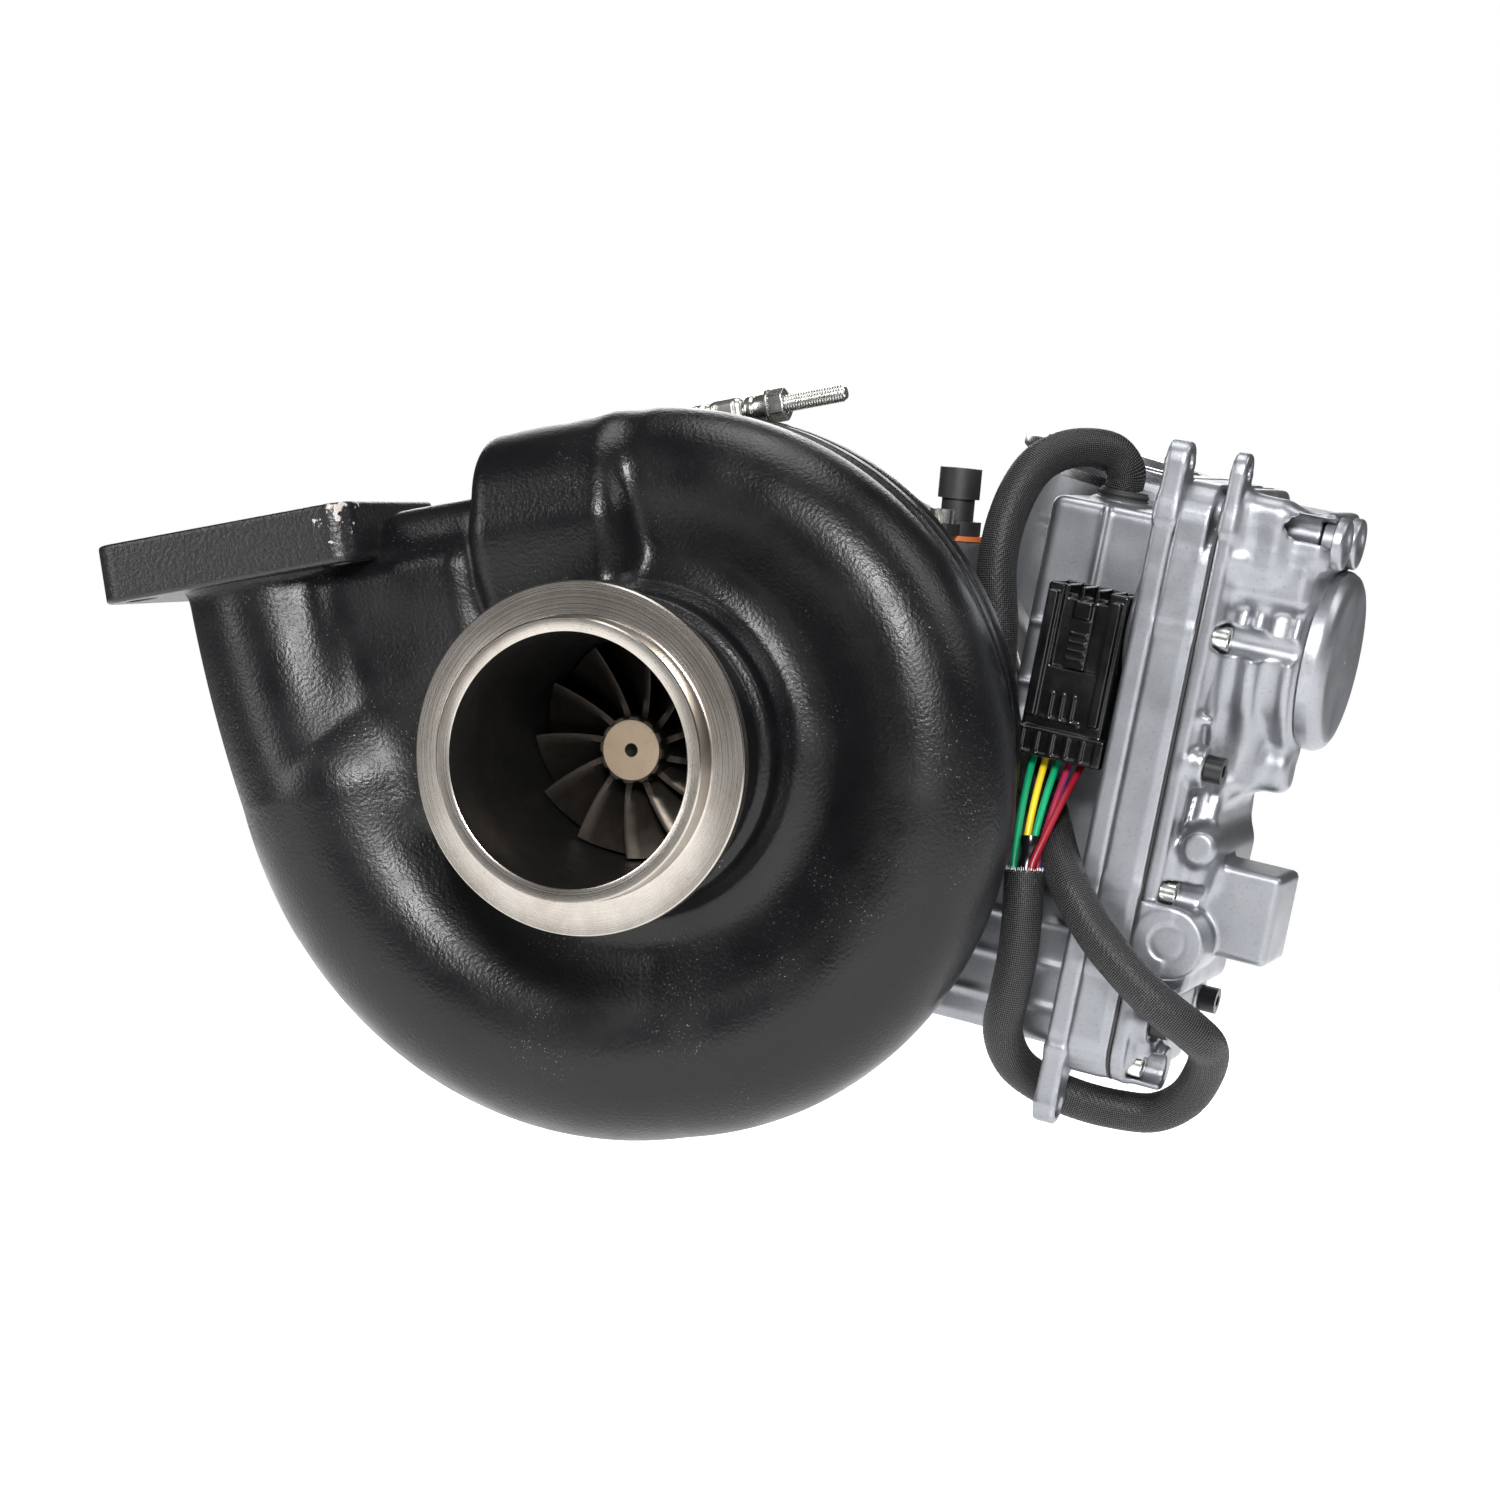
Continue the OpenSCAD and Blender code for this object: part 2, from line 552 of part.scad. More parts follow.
module motor_end_plate() {
    color("silver") act() difference() {
        ucyl(30.3, 168.8, 173.4, cross_y, motor_w);
        ucyl(7.02, 168, 172.6, cross_y, motor_w);
        ucyl(3.6, 168, 175, cross_y, motor_w);
    }
}
module motor_stator() {
    color("#7a5a3c") act() difference() {
        ucyl(30.3, 174, 197, cross_y, motor_w);
        ucyl(13, 170, 200, cross_y, motor_w);
        for (a = [0:40:320]) translate([0, cross_y, motor_w]) plate(170, 200) rotate(a)
            translate([15, -2.2]) square([9, 4.4]);
    }
}

// Outline shared by the actuator's flange plates, in [y, w].
module plate_outline() { rounded([front_y, -86], [back_y, 125], 14); }
module gear_space() {
    difference() {
        rounded([front_y + 5.5, -75], [back_y - 5.5, 114], 10);
        for (p = screw_spots) translate(p) circle(5.4);
    }
}
module top_lug() {
    difference() {
        union() {
            translate([front_y, 108]) square([13, 23]);
            translate([front_y + 6.5, 131]) circle(6.5);
        }
        translate([front_y + 6.5, 131]) circle(3);
    }
}
module bottom_lug() {
    difference() {
        union() {
            translate([front_y, -99]) square([13, 40]);
            translate([front_y + 6.5, -99]) circle(6.5);
        }
        translate([front_y + 6.5, -99]) circle(3);
    }
}
module actuator_housing() {
    color("#c3c6ca") act() difference() {
        union() {
            plate(plate_u[0], plate_u[1]) { plate_outline(); top_lug(); bottom_lug(); }
            box([96, 161, 20], [144, 208, 109]);
            box([86, 142, -82], [144, 206, -25]);
            box([86, 160, -26], [144, 206, 26]);
            ucyl(25, 140.6, 144, cross_y - 14, motor_w);
        }
        plate(146, 160) gear_space();
        box([100, 165, 30], [141, 204, 104]);
        box([104, 164, -30], [141, 202, 22]);
        ucyl(14, 88, 160, cross_y, cross_w);
        ucyl(8.6, 80, 100, cross_y, cross_w);
        ucyl(4.02, 144.6, 150, cross_y, idler_w);
        rotate([0, -act_tilt, 0]) turned([[0, 191.4], [102, 191.4], [102, 225], [0, 225]]);
        for (p = mount_spots) {
            ucyl(3.4, 80, 150, p[0], p[1]);
            ucyl(6.4, 96, 150, p[0], p[1]);
        }
        wcyl(7.2, 100, 112, gland_place[0], gland_place[1]);
        for (p = screw_spots) ucyl(2.2, 145, 160, p[0], p[1]);
    }
}
module gearbox_plate() {
    color("#b9bcc1") act() difference() {
        plate(plate_u[1], plate_u[2]) plate_outline();
        plate(150, 168) gear_space();
        for (p = screw_spots) ucyl(2.6, 145, 168, p[0], p[1]);
    }
}
module cover_gasket() {
    color("#2c2d2f") act() difference() {
        plate(plate_u[2], plate_u[2] + 0.8) plate_outline();
        plate(150, 168) gear_space();
        for (p = screw_spots) ucyl(2.6, 145, 168, p[0], p[1]);
    }
}
module gear_cover() {
    u0 = plate_u[2] + 0.8;
    color("#c3c6ca") act() difference() {
        union() {
            plate(u0, 172) { plate_outline(); top_lug(); }
            ucyl(41, 170, 175, cross_y, motor_w);
            ucyl(37, 174, 183, cross_y, motor_w);
            ucyl(39, 183, 188, cross_y, motor_w);
            ucyl(35, 188, 196, cross_y, motor_w);
            ucyl(33, 196, 201.4, cross_y, motor_w);
            box([170, 126, 88], [201.2, 176, 105]);
            box([170, 126, 103.8], [204, 176, 122]);
            ucyl(7, 170, 201, cross_y - 10, 32);
            box([170, 140, 20], [190, 186, 50]);
            ucyl(30, 170, 184, cross_y, 4);
            box([170, 130, -52], [186, 196, 4]);
            box([184, 134, -35], [211, 164, -3]);
            translate([179.8, 116, -32]) rotate([-90, 0, 0]) cylinder(r = 12.6, h = 30);
            box([167, 116, -45], [177, 134, -19]);
            ucyl(8, 170, 184, 136, -78);
            box([170, 126, -82], [180, 180, -52]);
            for (p = socket_spots) ucyl(7.6, 170, 178, p[0], p[1]);
        }
        ucyl(30.5, 168.5, 202, cross_y, motor_w);
        plate(160, 168.6) gear_space();
        ucyl(4.02, 160, 170, cross_y, idler_w);
        box([172, 137, 100], [200, 172, 118]);
        for (p = screw_spots) ucyl(2.6, 145, 200, p[0], p[1]);
        for (p = screw_spots) ucyl(5.2, 172, 210, p[0], p[1]);
        for (p = socket_spots) ucyl(3.1, 168.6, 190, p[0], p[1]);
        for (p = socket_spots) ucyl(6, 178, 215, p[0], p[1]);
        for (y = [138, 162]) ucyl(7.5, 199, 205, y, 113);
    }
}
module motor_cap() {
    color("#c9ccd0") act() difference() {
        union() {
            ucyl(motor_cap_r, 201.4, 207, cross_y, motor_w);
            ucyl(motor_cap_r - 3, 206, 210.4, cross_y, motor_w);
        }
        ucyl(motor_cap_r - 4, 200, 207.4, cross_y, motor_w);
    }
    color("#c9ccd0") act() difference() {
        ucyl(10, 197.4, 208, cross_y, motor_w);
        ucyl(7, 196, 201.2, cross_y, motor_w);
        ucyl(3.6, 196, 203, cross_y, motor_w);
    }
}
module round_plugs() {
    color("#b9bcc1") act() for (y = [138, 162]) {
        ucyl(7.4, 200.2, 204.2, y, 113);
        ucyl(round_plug_r, 204.1, 208, y, 113);
    }
}
module screw(r, h, shank_r, len) {
    difference() {
        rotate([0, 90, 0]) cylinder(r = r, h = h);
        translate([h - 2.4, 0, 0]) rotate([0, 90, 0]) cylinder(r = r * 0.5, h = 3, $fn = 6);
    }
    translate([-len, 0, 0]) rotate([0, 90, 0]) cylinder(r = shank_r, h = len + 0.5);
}
module flange_screws() {
    color("#a7aaae") act() for (p = screw_spots) translate([172.1, p[0], p[1]]) screw(4.3, 5, 2.15, 24);
}
module socket_screws() {
    color("#26272a") act() for (p = socket_spots) translate([178.1, p[0], p[1]]) screw(4.8, 6, 3, 9);
}
module mounting_screws() {
    color("#26272a") act() for (p = mount_spots) translate([96.2, p[0], p[1]]) screw(5.5, 6, 3.3, 28);
}
module circuit_board() {
    color("#20603a") act() {
        box([110, 168, 34], [111.6, 202, 100]);
        box([111.6, 174, 50], [114, 190, 66]);
        box([111.6, 176, 76], [119, 184, 92]);
        for (w = [42, 70]) box([111.6, 192, w], [116, 199, w + 10]);
    }
}

module harness_gland() {
    color("#1d1e20") act() translate([gland_place[0], gland_place[1], 0]) difference() {
        union() {
            wcyl(7.1, 103, 110, 0, 0);
            wcyl(9.5, 109.2, 114, 0, 0);
        }
        wcyl(3, 101, 116, 0, 0);
    }
}
function unit(v) = v / norm(v);
function tube_ring(route, i, r, m) =
    let (d = unit(route[min(i + 1, len(route) - 1)] - route[max(i - 1, 0)]),
         a = unit(cross(d, [0.3, 0.9, 0.2])), b = cross(d, a))
    [for (j = [0:m - 1]) route[i] + r * (cos(360 * j / m) * a + sin(360 * j / m) * b)];
module harness_sleeve() {
    color("#141415") skin([for (i = [0:len(sleeve_route) - 1]) tube_ring(sleeve_route, i, sleeve_d / 2, 10)]);
}
module harness_wires() {
    mouth = sleeve_route[len(sleeve_route) - 1];
    for (i = [0:len(wire_starts) - 1]) color(["green", "gold", "green", "royalblue", "firebrick"][i])
        skin([for (k = [0:4]) tube_ring(wire_route(mouth, i), k, wire_d / 2, 8)]);
}
function wire_route(mouth, i) =
    let (foot = mouth + [wire_starts[i][0], wire_starts[i][1], 1],
         head = [122.9, 137, -25.8] + (i - 2) * [4.2, 0, -1.6])
    [for (k = [0:4]) foot + (head - foot) * k / 4 + [0, -3 * sin(45 * k), 0]];
module connector() {
    color("#0f1011") act() difference() {
        union() {
            box([110.5, 127, 26], [140, 149, 81]);
            box([110, 125, 20], [142, 150, 30]);
            for (u = [111.5, 134.5]) box([u, 124.6, 34], [u + 3.5, 128, 78]);
        }
        box([116.5, 124, 52], [133, 129.5, 83]);
    }
}
module connector_latch() {
    color("#17181a") act() {
        box([121, 126, 52.2], [129, 129.5, 76]);
        box([122, 124.6, 70], [128, 129.5, 76]);
    }
}

turbine_housing();
turbine_wheel();
rotor_shaft();
nozzle_ring();
push_rods();
shroud_plate();
heat_shield();
turbine_clamp_band();
turbine_clamp_bolt();
turbine_clamp_nut();
bearing_housing();
rod_bushes();
journal_bearings();
bearing_snap_rings();
thrust_collar();
thrust_bearing();
oil_slinger();
piston_rings();
seal_plate();
speed_sensor();
sensor_seal();
sensor_screw();
compressor_wheel();
compressor_nut();
compressor_cover();
compressor_clamp_band();
compressor_clamp_bolt();
compressor_clamp_nut();
cross_shaft();
yoke();
yoke_pins();
sector_gear();
cross_shaft_bushes();
actuator_housing();
gearbox_plate();
gear_cover();
motor_cap();
motor_end_plate();
motor_stator();
motor_rotor();
motor_pinion();
motor_bearings();
idler_gear();
idler_spindle();
circuit_board();
cover_gasket();
round_plugs();
flange_screws();
socket_screws();
mounting_screws();
harness_gland();
harness_sleeve();
harness_wires();
connector();
connector_latch();
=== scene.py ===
import itertools
import math

import bpy
import numpy as np
import openvdb
from mathutils import Matrix, Vector


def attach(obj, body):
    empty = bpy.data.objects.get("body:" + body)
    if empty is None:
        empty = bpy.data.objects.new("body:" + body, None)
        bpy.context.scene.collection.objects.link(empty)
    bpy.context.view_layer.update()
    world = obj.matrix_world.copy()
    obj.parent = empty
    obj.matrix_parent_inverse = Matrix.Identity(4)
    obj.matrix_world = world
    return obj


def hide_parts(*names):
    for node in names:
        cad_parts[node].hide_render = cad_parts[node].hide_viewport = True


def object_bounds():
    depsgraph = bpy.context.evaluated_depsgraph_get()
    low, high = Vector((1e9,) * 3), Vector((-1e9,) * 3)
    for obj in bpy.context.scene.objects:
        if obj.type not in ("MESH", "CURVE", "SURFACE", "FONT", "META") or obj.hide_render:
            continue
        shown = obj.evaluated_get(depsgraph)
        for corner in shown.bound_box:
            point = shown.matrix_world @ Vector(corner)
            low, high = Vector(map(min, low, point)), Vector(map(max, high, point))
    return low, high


# Visual model of a variable-geometry turbocharger with its electric nozzle actuator.
# Sizes are in millimetres in the CAD's row frame; MM turns them into Blender's metres.
# The actuator leans by TILT about the rotor axis. ACT turns its own u, y, w into x, y, z.
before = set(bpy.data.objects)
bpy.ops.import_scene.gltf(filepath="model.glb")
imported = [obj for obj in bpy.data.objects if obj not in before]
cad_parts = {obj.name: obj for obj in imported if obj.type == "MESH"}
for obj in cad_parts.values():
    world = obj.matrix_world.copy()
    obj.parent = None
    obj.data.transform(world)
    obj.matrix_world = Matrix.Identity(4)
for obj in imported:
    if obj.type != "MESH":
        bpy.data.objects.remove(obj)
CAD_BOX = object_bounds()
MM = 0.001
TILT = math.radians(21)
ACT = Matrix.Rotation(TILT, 4, "Y")
IDENTITY = Matrix.Identity(4)
BODY = "housing"


# ---------------------------------------------------------------- camera
def make_camera():
    """The photograph's camera: 20.3 degrees to the right, 3.7 above, rolled 9.5 about the rotor axis."""
    azimuth, elevation, roll = math.radians(20.3), math.radians(3.7), math.radians(9.5)
    look = Vector((-math.sin(azimuth) * math.cos(elevation), math.cos(azimuth) * math.cos(elevation),
                   -math.sin(elevation)))
    right = Vector((math.cos(azimuth), math.sin(azimuth), 0))
    up = right.cross(look)
    turn = Matrix.Rotation(roll, 3, "Y")
    camera = bpy.data.cameras.new("camera")
    camera.sensor_width = 36
    camera.lens = 87.84
    camera.clip_start = 0.05
    camera.clip_end = 20
    obj = bpy.data.objects.new("camera", camera)
    obj.matrix_world = Matrix.Translation((0.4754, -1.1033, 0.0019)) @ Matrix(
        [turn @ right, turn @ up, turn @ -look]).transposed().to_4x4()
    bpy.context.collection.objects.link(obj)
    bpy.context.scene.camera = obj
    return turn @ Vector((0, 0, 1))


PHOTO_UP = make_camera()


# ---------------------------------------------------------------- materials
MATERIALS = {}


class Shader:
    """A procedural material: a principled shader fed by noise in object space."""

    def __init__(self, name, colour, rough, metallic=0.0):
        self.name = name
        self.material = bpy.data.materials.new(name)
        self.material.use_nodes = True
        self.tree = self.material.node_tree
        self.shader = self.tree.nodes["Principled BSDF"]
        self.shader.inputs["Metallic"].default_value = metallic
        self.place = self.node("ShaderNodeTexCoord").outputs["Object"]
        self.colour = self.node("ShaderNodeRGB").outputs[0]
        self.colour.default_value = (*colour, 1)
        self.rough = self.node("ShaderNodeValue").outputs[0]
        self.rough.default_value = rough
        self.normal = None

    def node(self, kind, **inputs):
        made = self.tree.nodes.new(kind)
        for key, value in inputs.items():
            self.plug(made.inputs[key.replace("_", " ")], value)
        return made

    def plug(self, socket, value):
        if isinstance(value, bpy.types.NodeSocket):
            self.tree.links.new(value, socket)
        else:
            socket.default_value = value

    def noise(self, scale, detail=3.0, rough=0.5):
        made = self.node("ShaderNodeTexNoise", Vector=self.place, Scale=scale, Detail=detail, Roughness=rough)
        return made.outputs["Fac"]

    def lines(self, value, scale):
        """Noise along one value only, which draws lines across it."""
        made = self.node("ShaderNodeTexNoise")
        made.noise_dimensions = "1D"
        for key, number in (("W", value), ("Scale", scale), ("Detail", 4.0)):
            self.plug(made.inputs[key], number)
        return made.outputs["Fac"]

    def ramp(self, value, low, high, to_low=0.0, to_high=1.0):
        made = self.node("ShaderNodeMapRange", Value=value, From_Min=low, From_Max=high, To_Min=to_low,
                         To_Max=to_high)
        made.clamp = True
        return made.outputs[0]

    def math(self, operation, a, b=0.0):
        made = self.node("ShaderNodeMath")
        made.operation = operation
        self.plug(made.inputs[0], a)
        self.plug(made.inputs[1], b)
        return made.outputs[0]

    def times(self, a, b):
        return self.math("MULTIPLY", a, b)

    def split(self, vector=None):
        """The three parts of a vector, or of the place in object space."""
        return self.node("ShaderNodeSeparateXYZ", Vector=vector or self.place).outputs

    def uv(self):
        return self.split(self.node("ShaderNodeTexCoord").outputs["UV"])

    def tint(self, share, colour):
        """Mixes another colour in by a share from 0 to 1."""
        made = self.node("ShaderNodeMix")
        made.data_type = "RGBA"
        for socket, value in ((0, share), (6, self.colour), (7, (*colour, 1))):
            self.plug(made.inputs[socket], value)
        self.colour = made.outputs[2]

    def stain(self, scale, detail, low, high, share, colour, rough=0.5):
        """Blotches of another colour, up to a share of it where the noise is above high."""
        self.tint(self.ramp(self.noise(scale, detail, rough), low, high, 0, share), colour)

    def rougher(self, share, amount):
        self.rough = self.math("ADD", self.rough, self.times(share, amount))

    def uneven(self, scale, amount):
        """Lets the roughness drift by an amount each way."""
        self.rougher(self.ramp(self.noise(scale, 4), 0.3, 0.7, -1, 1), amount)

    def bump(self, height, strength, distance):
        made = self.node("ShaderNodeBump", Height=height, Strength=strength, Distance=distance)
        if self.normal:
            self.plug(made.inputs["Normal"], self.normal)
        self.normal = made.outputs[0]

    def grain(self, scale, strength, distance, detail=3.0, rough=0.5):
        self.bump(self.noise(scale, detail, rough), strength, distance)

    def edges(self, low=0.52, high=0.6):
        """A share that is 1 on convex edges, broken up by noise."""
        point = self.node("ShaderNodeNewGeometry").outputs["Pointiness"]
        return self.times(self.ramp(point, low, high), self.ramp(self.noise(180, 4), 0.4, 0.62))

    def radius(self):
        """Distance from the rotor axis."""
        x, _, z = self.split()
        return self.math("SQRT", self.math("ADD", self.times(x, x), self.times(z, z)))

    def done(self, **constants):
        """Wires the shader up, sets its other inputs, and files the material under its name."""
        self.plug(self.shader.inputs["Base Color"], self.colour)
        self.plug(self.shader.inputs["Roughness"], self.rough)
        if self.normal:
            self.plug(self.shader.inputs["Normal"], self.normal)
        for key, value in constants.items():
            self.shader.inputs[key.replace("_", " ")].default_value = value
        MATERIALS[self.name] = self.material


def black_cast():
    """A thin heat-resistant black coating over cast iron, with pale dust in patches."""
    m = Shader("black_cast", (0.003, 0.0031, 0.0037), 0.34)
    m.stain(14, 4, 0.35, 0.7, 0.6, (0.006, 0.0062, 0.0072))
    specks = m.ramp(m.noise(1900, 2), 0.7, 0.73)
    patches = m.ramp(m.noise(32, 3), 0.5, 0.62)
    m.tint(m.times(specks, patches), (0.3, 0.3, 0.31))
    m.tint(m.times(m.edges(0.6, 0.7), 0.25), (0.1, 0.1, 0.105))
    m.uneven(60, 0.07)
    m.grain(800, 0.6, 0.0003, 2)
    m.grain(95, 0.12, 0.0006)
    m.done(Specular_IOR_Level=0.3)


def chipped_cast():
    """The same coating where the inlet flange's corner has lost some of it."""
    chipped_corner = (-0.093, 0.041, 0.1)
    m = Shader("chipped_cast", (0.005, 0.0051, 0.006), 0.36)
    m.stain(18, 4, 0.35, 0.7, 0.6, (0.009, 0.0092, 0.0105))
    parts = m.split()
    near = [m.ramp(m.math("ABSOLUTE", m.math("SUBTRACT", parts[i], at)), 0.018, 0.0, 0, 1)
            for i, at in enumerate(chipped_corner)]
    corner = m.times(near[0], m.times(near[1], near[2]))
    m.tint(m.ramp(m.math("ADD", m.noise(260, 4), m.times(corner, 0.35)), 0.74, 0.77), (0.4, 0.36, 0.33))
    m.tint(m.times(m.edges(0.53, 0.6), 0.4), (0.16, 0.16, 0.165))
    m.grain(640, 0.75, 0.0004, 3, 0.55)
    m.done()


def die_cast():
    m = Shader("die_cast", (0.3, 0.31, 0.33), 0.4, 0.9)
    m.stain(26, 5, 0.35, 0.68, 0.5, (0.22, 0.23, 0.25), 0.6)
    m.stain(900, 3, 0.55, 0.75, 0.45, (0.15, 0.16, 0.175), 0.6)
    m.tint(m.times(m.edges(), 0.5), (0.66, 0.67, 0.69))
    m.uneven(70, 0.06)
    m.grain(1500, 0.35, 0.00012, 3, 0.6)
    m.grain(60, 0.15, 0.0006)
    m.done()


def cast_aluminium():
    m = Shader("cast_aluminium", (0.34, 0.35, 0.37), 0.46, 0.9)
    m.stain(22, 5, 0.35, 0.7, 0.6, (0.27, 0.28, 0.3), 0.6)
    m.stain(500, 3, 0.55, 0.8, 0.5, (0.18, 0.19, 0.2))
    m.uneven(80, 0.07)
    m.grain(560, 0.45, 0.0003, 4, 0.6)
    m.grain(70, 0.2, 0.0008)
    m.done()


def dark_cast():
    m = Shader("dark_cast", (0.1, 0.1, 0.105), 0.52, 0.55)
    m.stain(30, 5, 0.35, 0.7, 0.7, (0.055, 0.055, 0.06), 0.6)
    m.stain(48, 4, 0.6, 0.75, 0.35, (0.16, 0.1, 0.07))
    m.grain(520, 0.5, 0.0004, 4, 0.6)
    m.grain(70, 0.3, 0.001)
    m.done()


def turned_metal(name, colour, stain, rough):
    """Metal faced on a lathe: fine rings about the rotor axis under faint stains."""
    m = Shader(name, colour, rough, 1.0)
    m.stain(38, 5, 0.38, 0.72, 0.75, stain, 0.65)
    m.stain(700, 3, 0.62, 0.75, 0.5, [0.6 * c for c in stain])
    rings = m.lines(m.radius(), 2600)
    m.rougher(m.ramp(rings, 0.3, 0.7, -1, 1), 0.06)
    m.bump(rings, 0.25, 0.00008)
    m.done()


def plain_metal(name, colour, stain, rough, metallic=1.0, grain=1400):
    m = Shader(name, colour, rough, metallic)
    m.stain(55, 5, 0.38, 0.72, 0.7, stain, 0.65)
    m.uneven(200, 0.06)
    m.grain(grain, 0.2, 0.0001)
    m.done()


def moulded(name, colour, rough, grain=900, deep=0.00012):
    """Moulded plastic or rubber, with a fine grain and a little dust in it."""
    m = Shader(name, colour, rough)
    m.stain(40, 4, 0.45, 0.75, 0.35, [min(1, 2.2 * c + 0.01) for c in colour])
    m.uneven(120, 0.08)
    m.grain(grain, 0.25, deep)
    m.done()


def braid_cloth():
    """Braided polyester, with its two sets of strands read from the sleeve's own UVs; the strands' crowns are
    lightened with painted sheen.
    """
    m = Shader("braid_cloth", (0.002, 0.002, 0.0022), 0.46)
    uv = m.uv()
    a, b = (m.math("SINE", m.times(m.math(way, uv[0], uv[1]), math.tau * 1.5)) for way in ("ADD", "SUBTRACT"))
    thread = m.ramp(m.times(a, b), 0.1, 0.7)
    # Lightens the crowns of the strands with a paler colour: painted sheen on the weave.
    m.tint(m.times(thread, 0.8), (0.13, 0.13, 0.135))
    dust = m.times(m.ramp(m.noise(1800, 2), 0.62, 0.72), m.ramp(m.noise(50, 3), 0.45, 0.7))
    m.tint(m.times(dust, 0.5), (0.3, 0.3, 0.31))
    m.bump(thread, 0.9, 0.0003)
    m.done(Specular_IOR_Level=0.3)


def striped_wire():
    """Blue insulation with a red trace down its length."""
    m = Shader("wire_striped", (0.03, 0.06, 0.3), 0.42)
    m.tint(m.ramp(m.math("SINE", m.times(m.uv()[0], math.tau)), 0.1, 0.2), (0.3, 0.012, 0.05))
    m.grain(500, 0.2, 0.0001)
    m.done()


def board_green():
    """A lacquered circuit board with faint tracks."""
    m = Shader("board_green", (0.02, 0.14, 0.06), 0.35)
    tracks = m.ramp(m.lines(m.split()[1], 900), 0.5, 0.52)
    m.tint(m.times(tracks, 0.5), (0.04, 0.22, 0.09))
    m.bump(tracks, 0.3, 0.0001)
    m.done()


black_cast()
chipped_cast()
die_cast()
cast_aluminium()
dark_cast()
turned_metal("outlet_steel", (0.44, 0.41, 0.375), (0.28, 0.245, 0.21), 0.28)
turned_metal("machined_aluminium", (0.5, 0.51, 0.53), (0.4, 0.41, 0.43), 0.26)
turned_metal("stainless", (0.5, 0.49, 0.47), (0.36, 0.33, 0.3), 0.34)
turned_metal("hub_tan", (0.66, 0.52, 0.38), (0.5, 0.37, 0.26), 0.36)
plain_metal("wheel_alloy", (0.07, 0.058, 0.048), (0.035, 0.03, 0.026), 0.4, 0.85)
# Near black: soot, darkened further as painted shade inside the outlet bore and the hub's centre drilling.
plain_metal("bore_soot_and_shade", (0.008, 0.0075, 0.007), (0.005, 0.005, 0.005), 0.5, 0.3, 600)
plain_metal("ground_steel", (0.62, 0.62, 0.63), (0.52, 0.52, 0.53), 0.22)
plain_metal("zinc", (0.7, 0.72, 0.68), (0.56, 0.57, 0.52), 0.26)
plain_metal("dark_steel", (0.2, 0.2, 0.21), (0.12, 0.12, 0.125), 0.36)
plain_metal("black_steel", (0.035, 0.035, 0.037), (0.02, 0.02, 0.021), 0.38, 0.7)
plain_metal("bronze", (0.6, 0.42, 0.22), (0.46, 0.31, 0.16), 0.3)
plain_metal("brass", (0.74, 0.58, 0.3), (0.6, 0.44, 0.22), 0.28)
plain_metal("copper", (0.6, 0.3, 0.16), (0.42, 0.2, 0.1), 0.34)
moulded("black_plastic", (0.003, 0.003, 0.0035), 0.2)
moulded("matt_plastic", (0.014, 0.014, 0.015), 0.5)
moulded("black_rubber", (0.016, 0.016, 0.017), 0.62, 700, 0.0002)
moulded("orange_rubber", (0.5, 0.13, 0.03), 0.5)
board_green()
braid_cloth()
moulded("wire_green", (0.0, 0.26, 0.11), 0.38, 500)
moulded("wire_yellow", (0.72, 0.5, 0.02), 0.38, 500)
striped_wire()
moulded("wire_red", (0.2, 0.004, 0.014), 0.38, 500)
moulded("white_tape", (0.75, 0.75, 0.74), 0.6, 400)


# ---------------------------------------------------------------- pieces from meshes
def build(name, points, corners, sizes, material, node, body, place, uv=None, sharp=None):
    """A mesh object that rides a body, and stands for a CAD node if one is named."""
    mesh = bpy.data.meshes.new(name)
    mesh.vertices.add(len(points))
    mesh.vertices.foreach_set("co", points.ravel())
    mesh.loops.add(len(corners))
    mesh.loops.foreach_set("vertex_index", corners)
    mesh.polygons.add(len(sizes))
    mesh.polygons.foreach_set("loop_start", np.concatenate([[0], np.cumsum(sizes)[:-1]]).astype(np.int32))
    mesh.polygons.foreach_set("use_smooth", np.ones(len(sizes), dtype=bool))
    mesh.update(calc_edges=True)
    mesh.validate()
    mesh.transform(place)
    if uv is not None:
        layer = mesh.uv_layers.new(name="UVMap")
        layer.data.foreach_set("uv", np.asarray(uv, dtype=np.float32)[corners].ravel())
    if sharp:
        mesh.set_sharp_from_angle(angle=math.radians(sharp))
    mesh.materials.append(MATERIALS[material])
    obj = bpy.data.objects.new(name, mesh)
    bpy.context.collection.objects.link(obj)
    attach(obj, body)
    if node:
        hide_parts(node)
    return obj


def piece(name, points, faces, material, node=None, body=BODY, place=IDENTITY, uv=None, sharp=35):
    """A piece from points in millimetres and a list of faces, creased at turns of over sharp degrees."""
    points = np.asarray(points, dtype=np.float32) * MM
    corners = np.concatenate([np.asarray(f, dtype=np.int32) for f in faces])
    return build(name, points, corners, [len(f) for f in faces], material, node, body, place, uv, sharp)


def ring_faces(rows, columns, closed=False):
    """Quads over rows of points that each close into a ring; closed joins the last row to the first."""
    faces = []
    for i in range(rows if closed else rows - 1):
        here, there = i * columns, (i + 1) % rows * columns
        for j in range(columns):
            k = (j + 1) % columns
            faces.append((here + j, here + k, there + k, there + j))
    return faces


def eased(profile, ease):
    """The profile with each corner cut back by a small chamfer."""
    result = []
    count = len(profile)
    for i, corner in enumerate(profile):
        here = np.array(corner, dtype=float)
        for other in (profile[i - 1], profile[(i + 1) % count]):
            step = np.array(other, dtype=float) - here
            length = np.hypot(*step)
            result.append(tuple(here + step * min(ease, 0.4 * length) / max(length, 1e-6)))
    return result


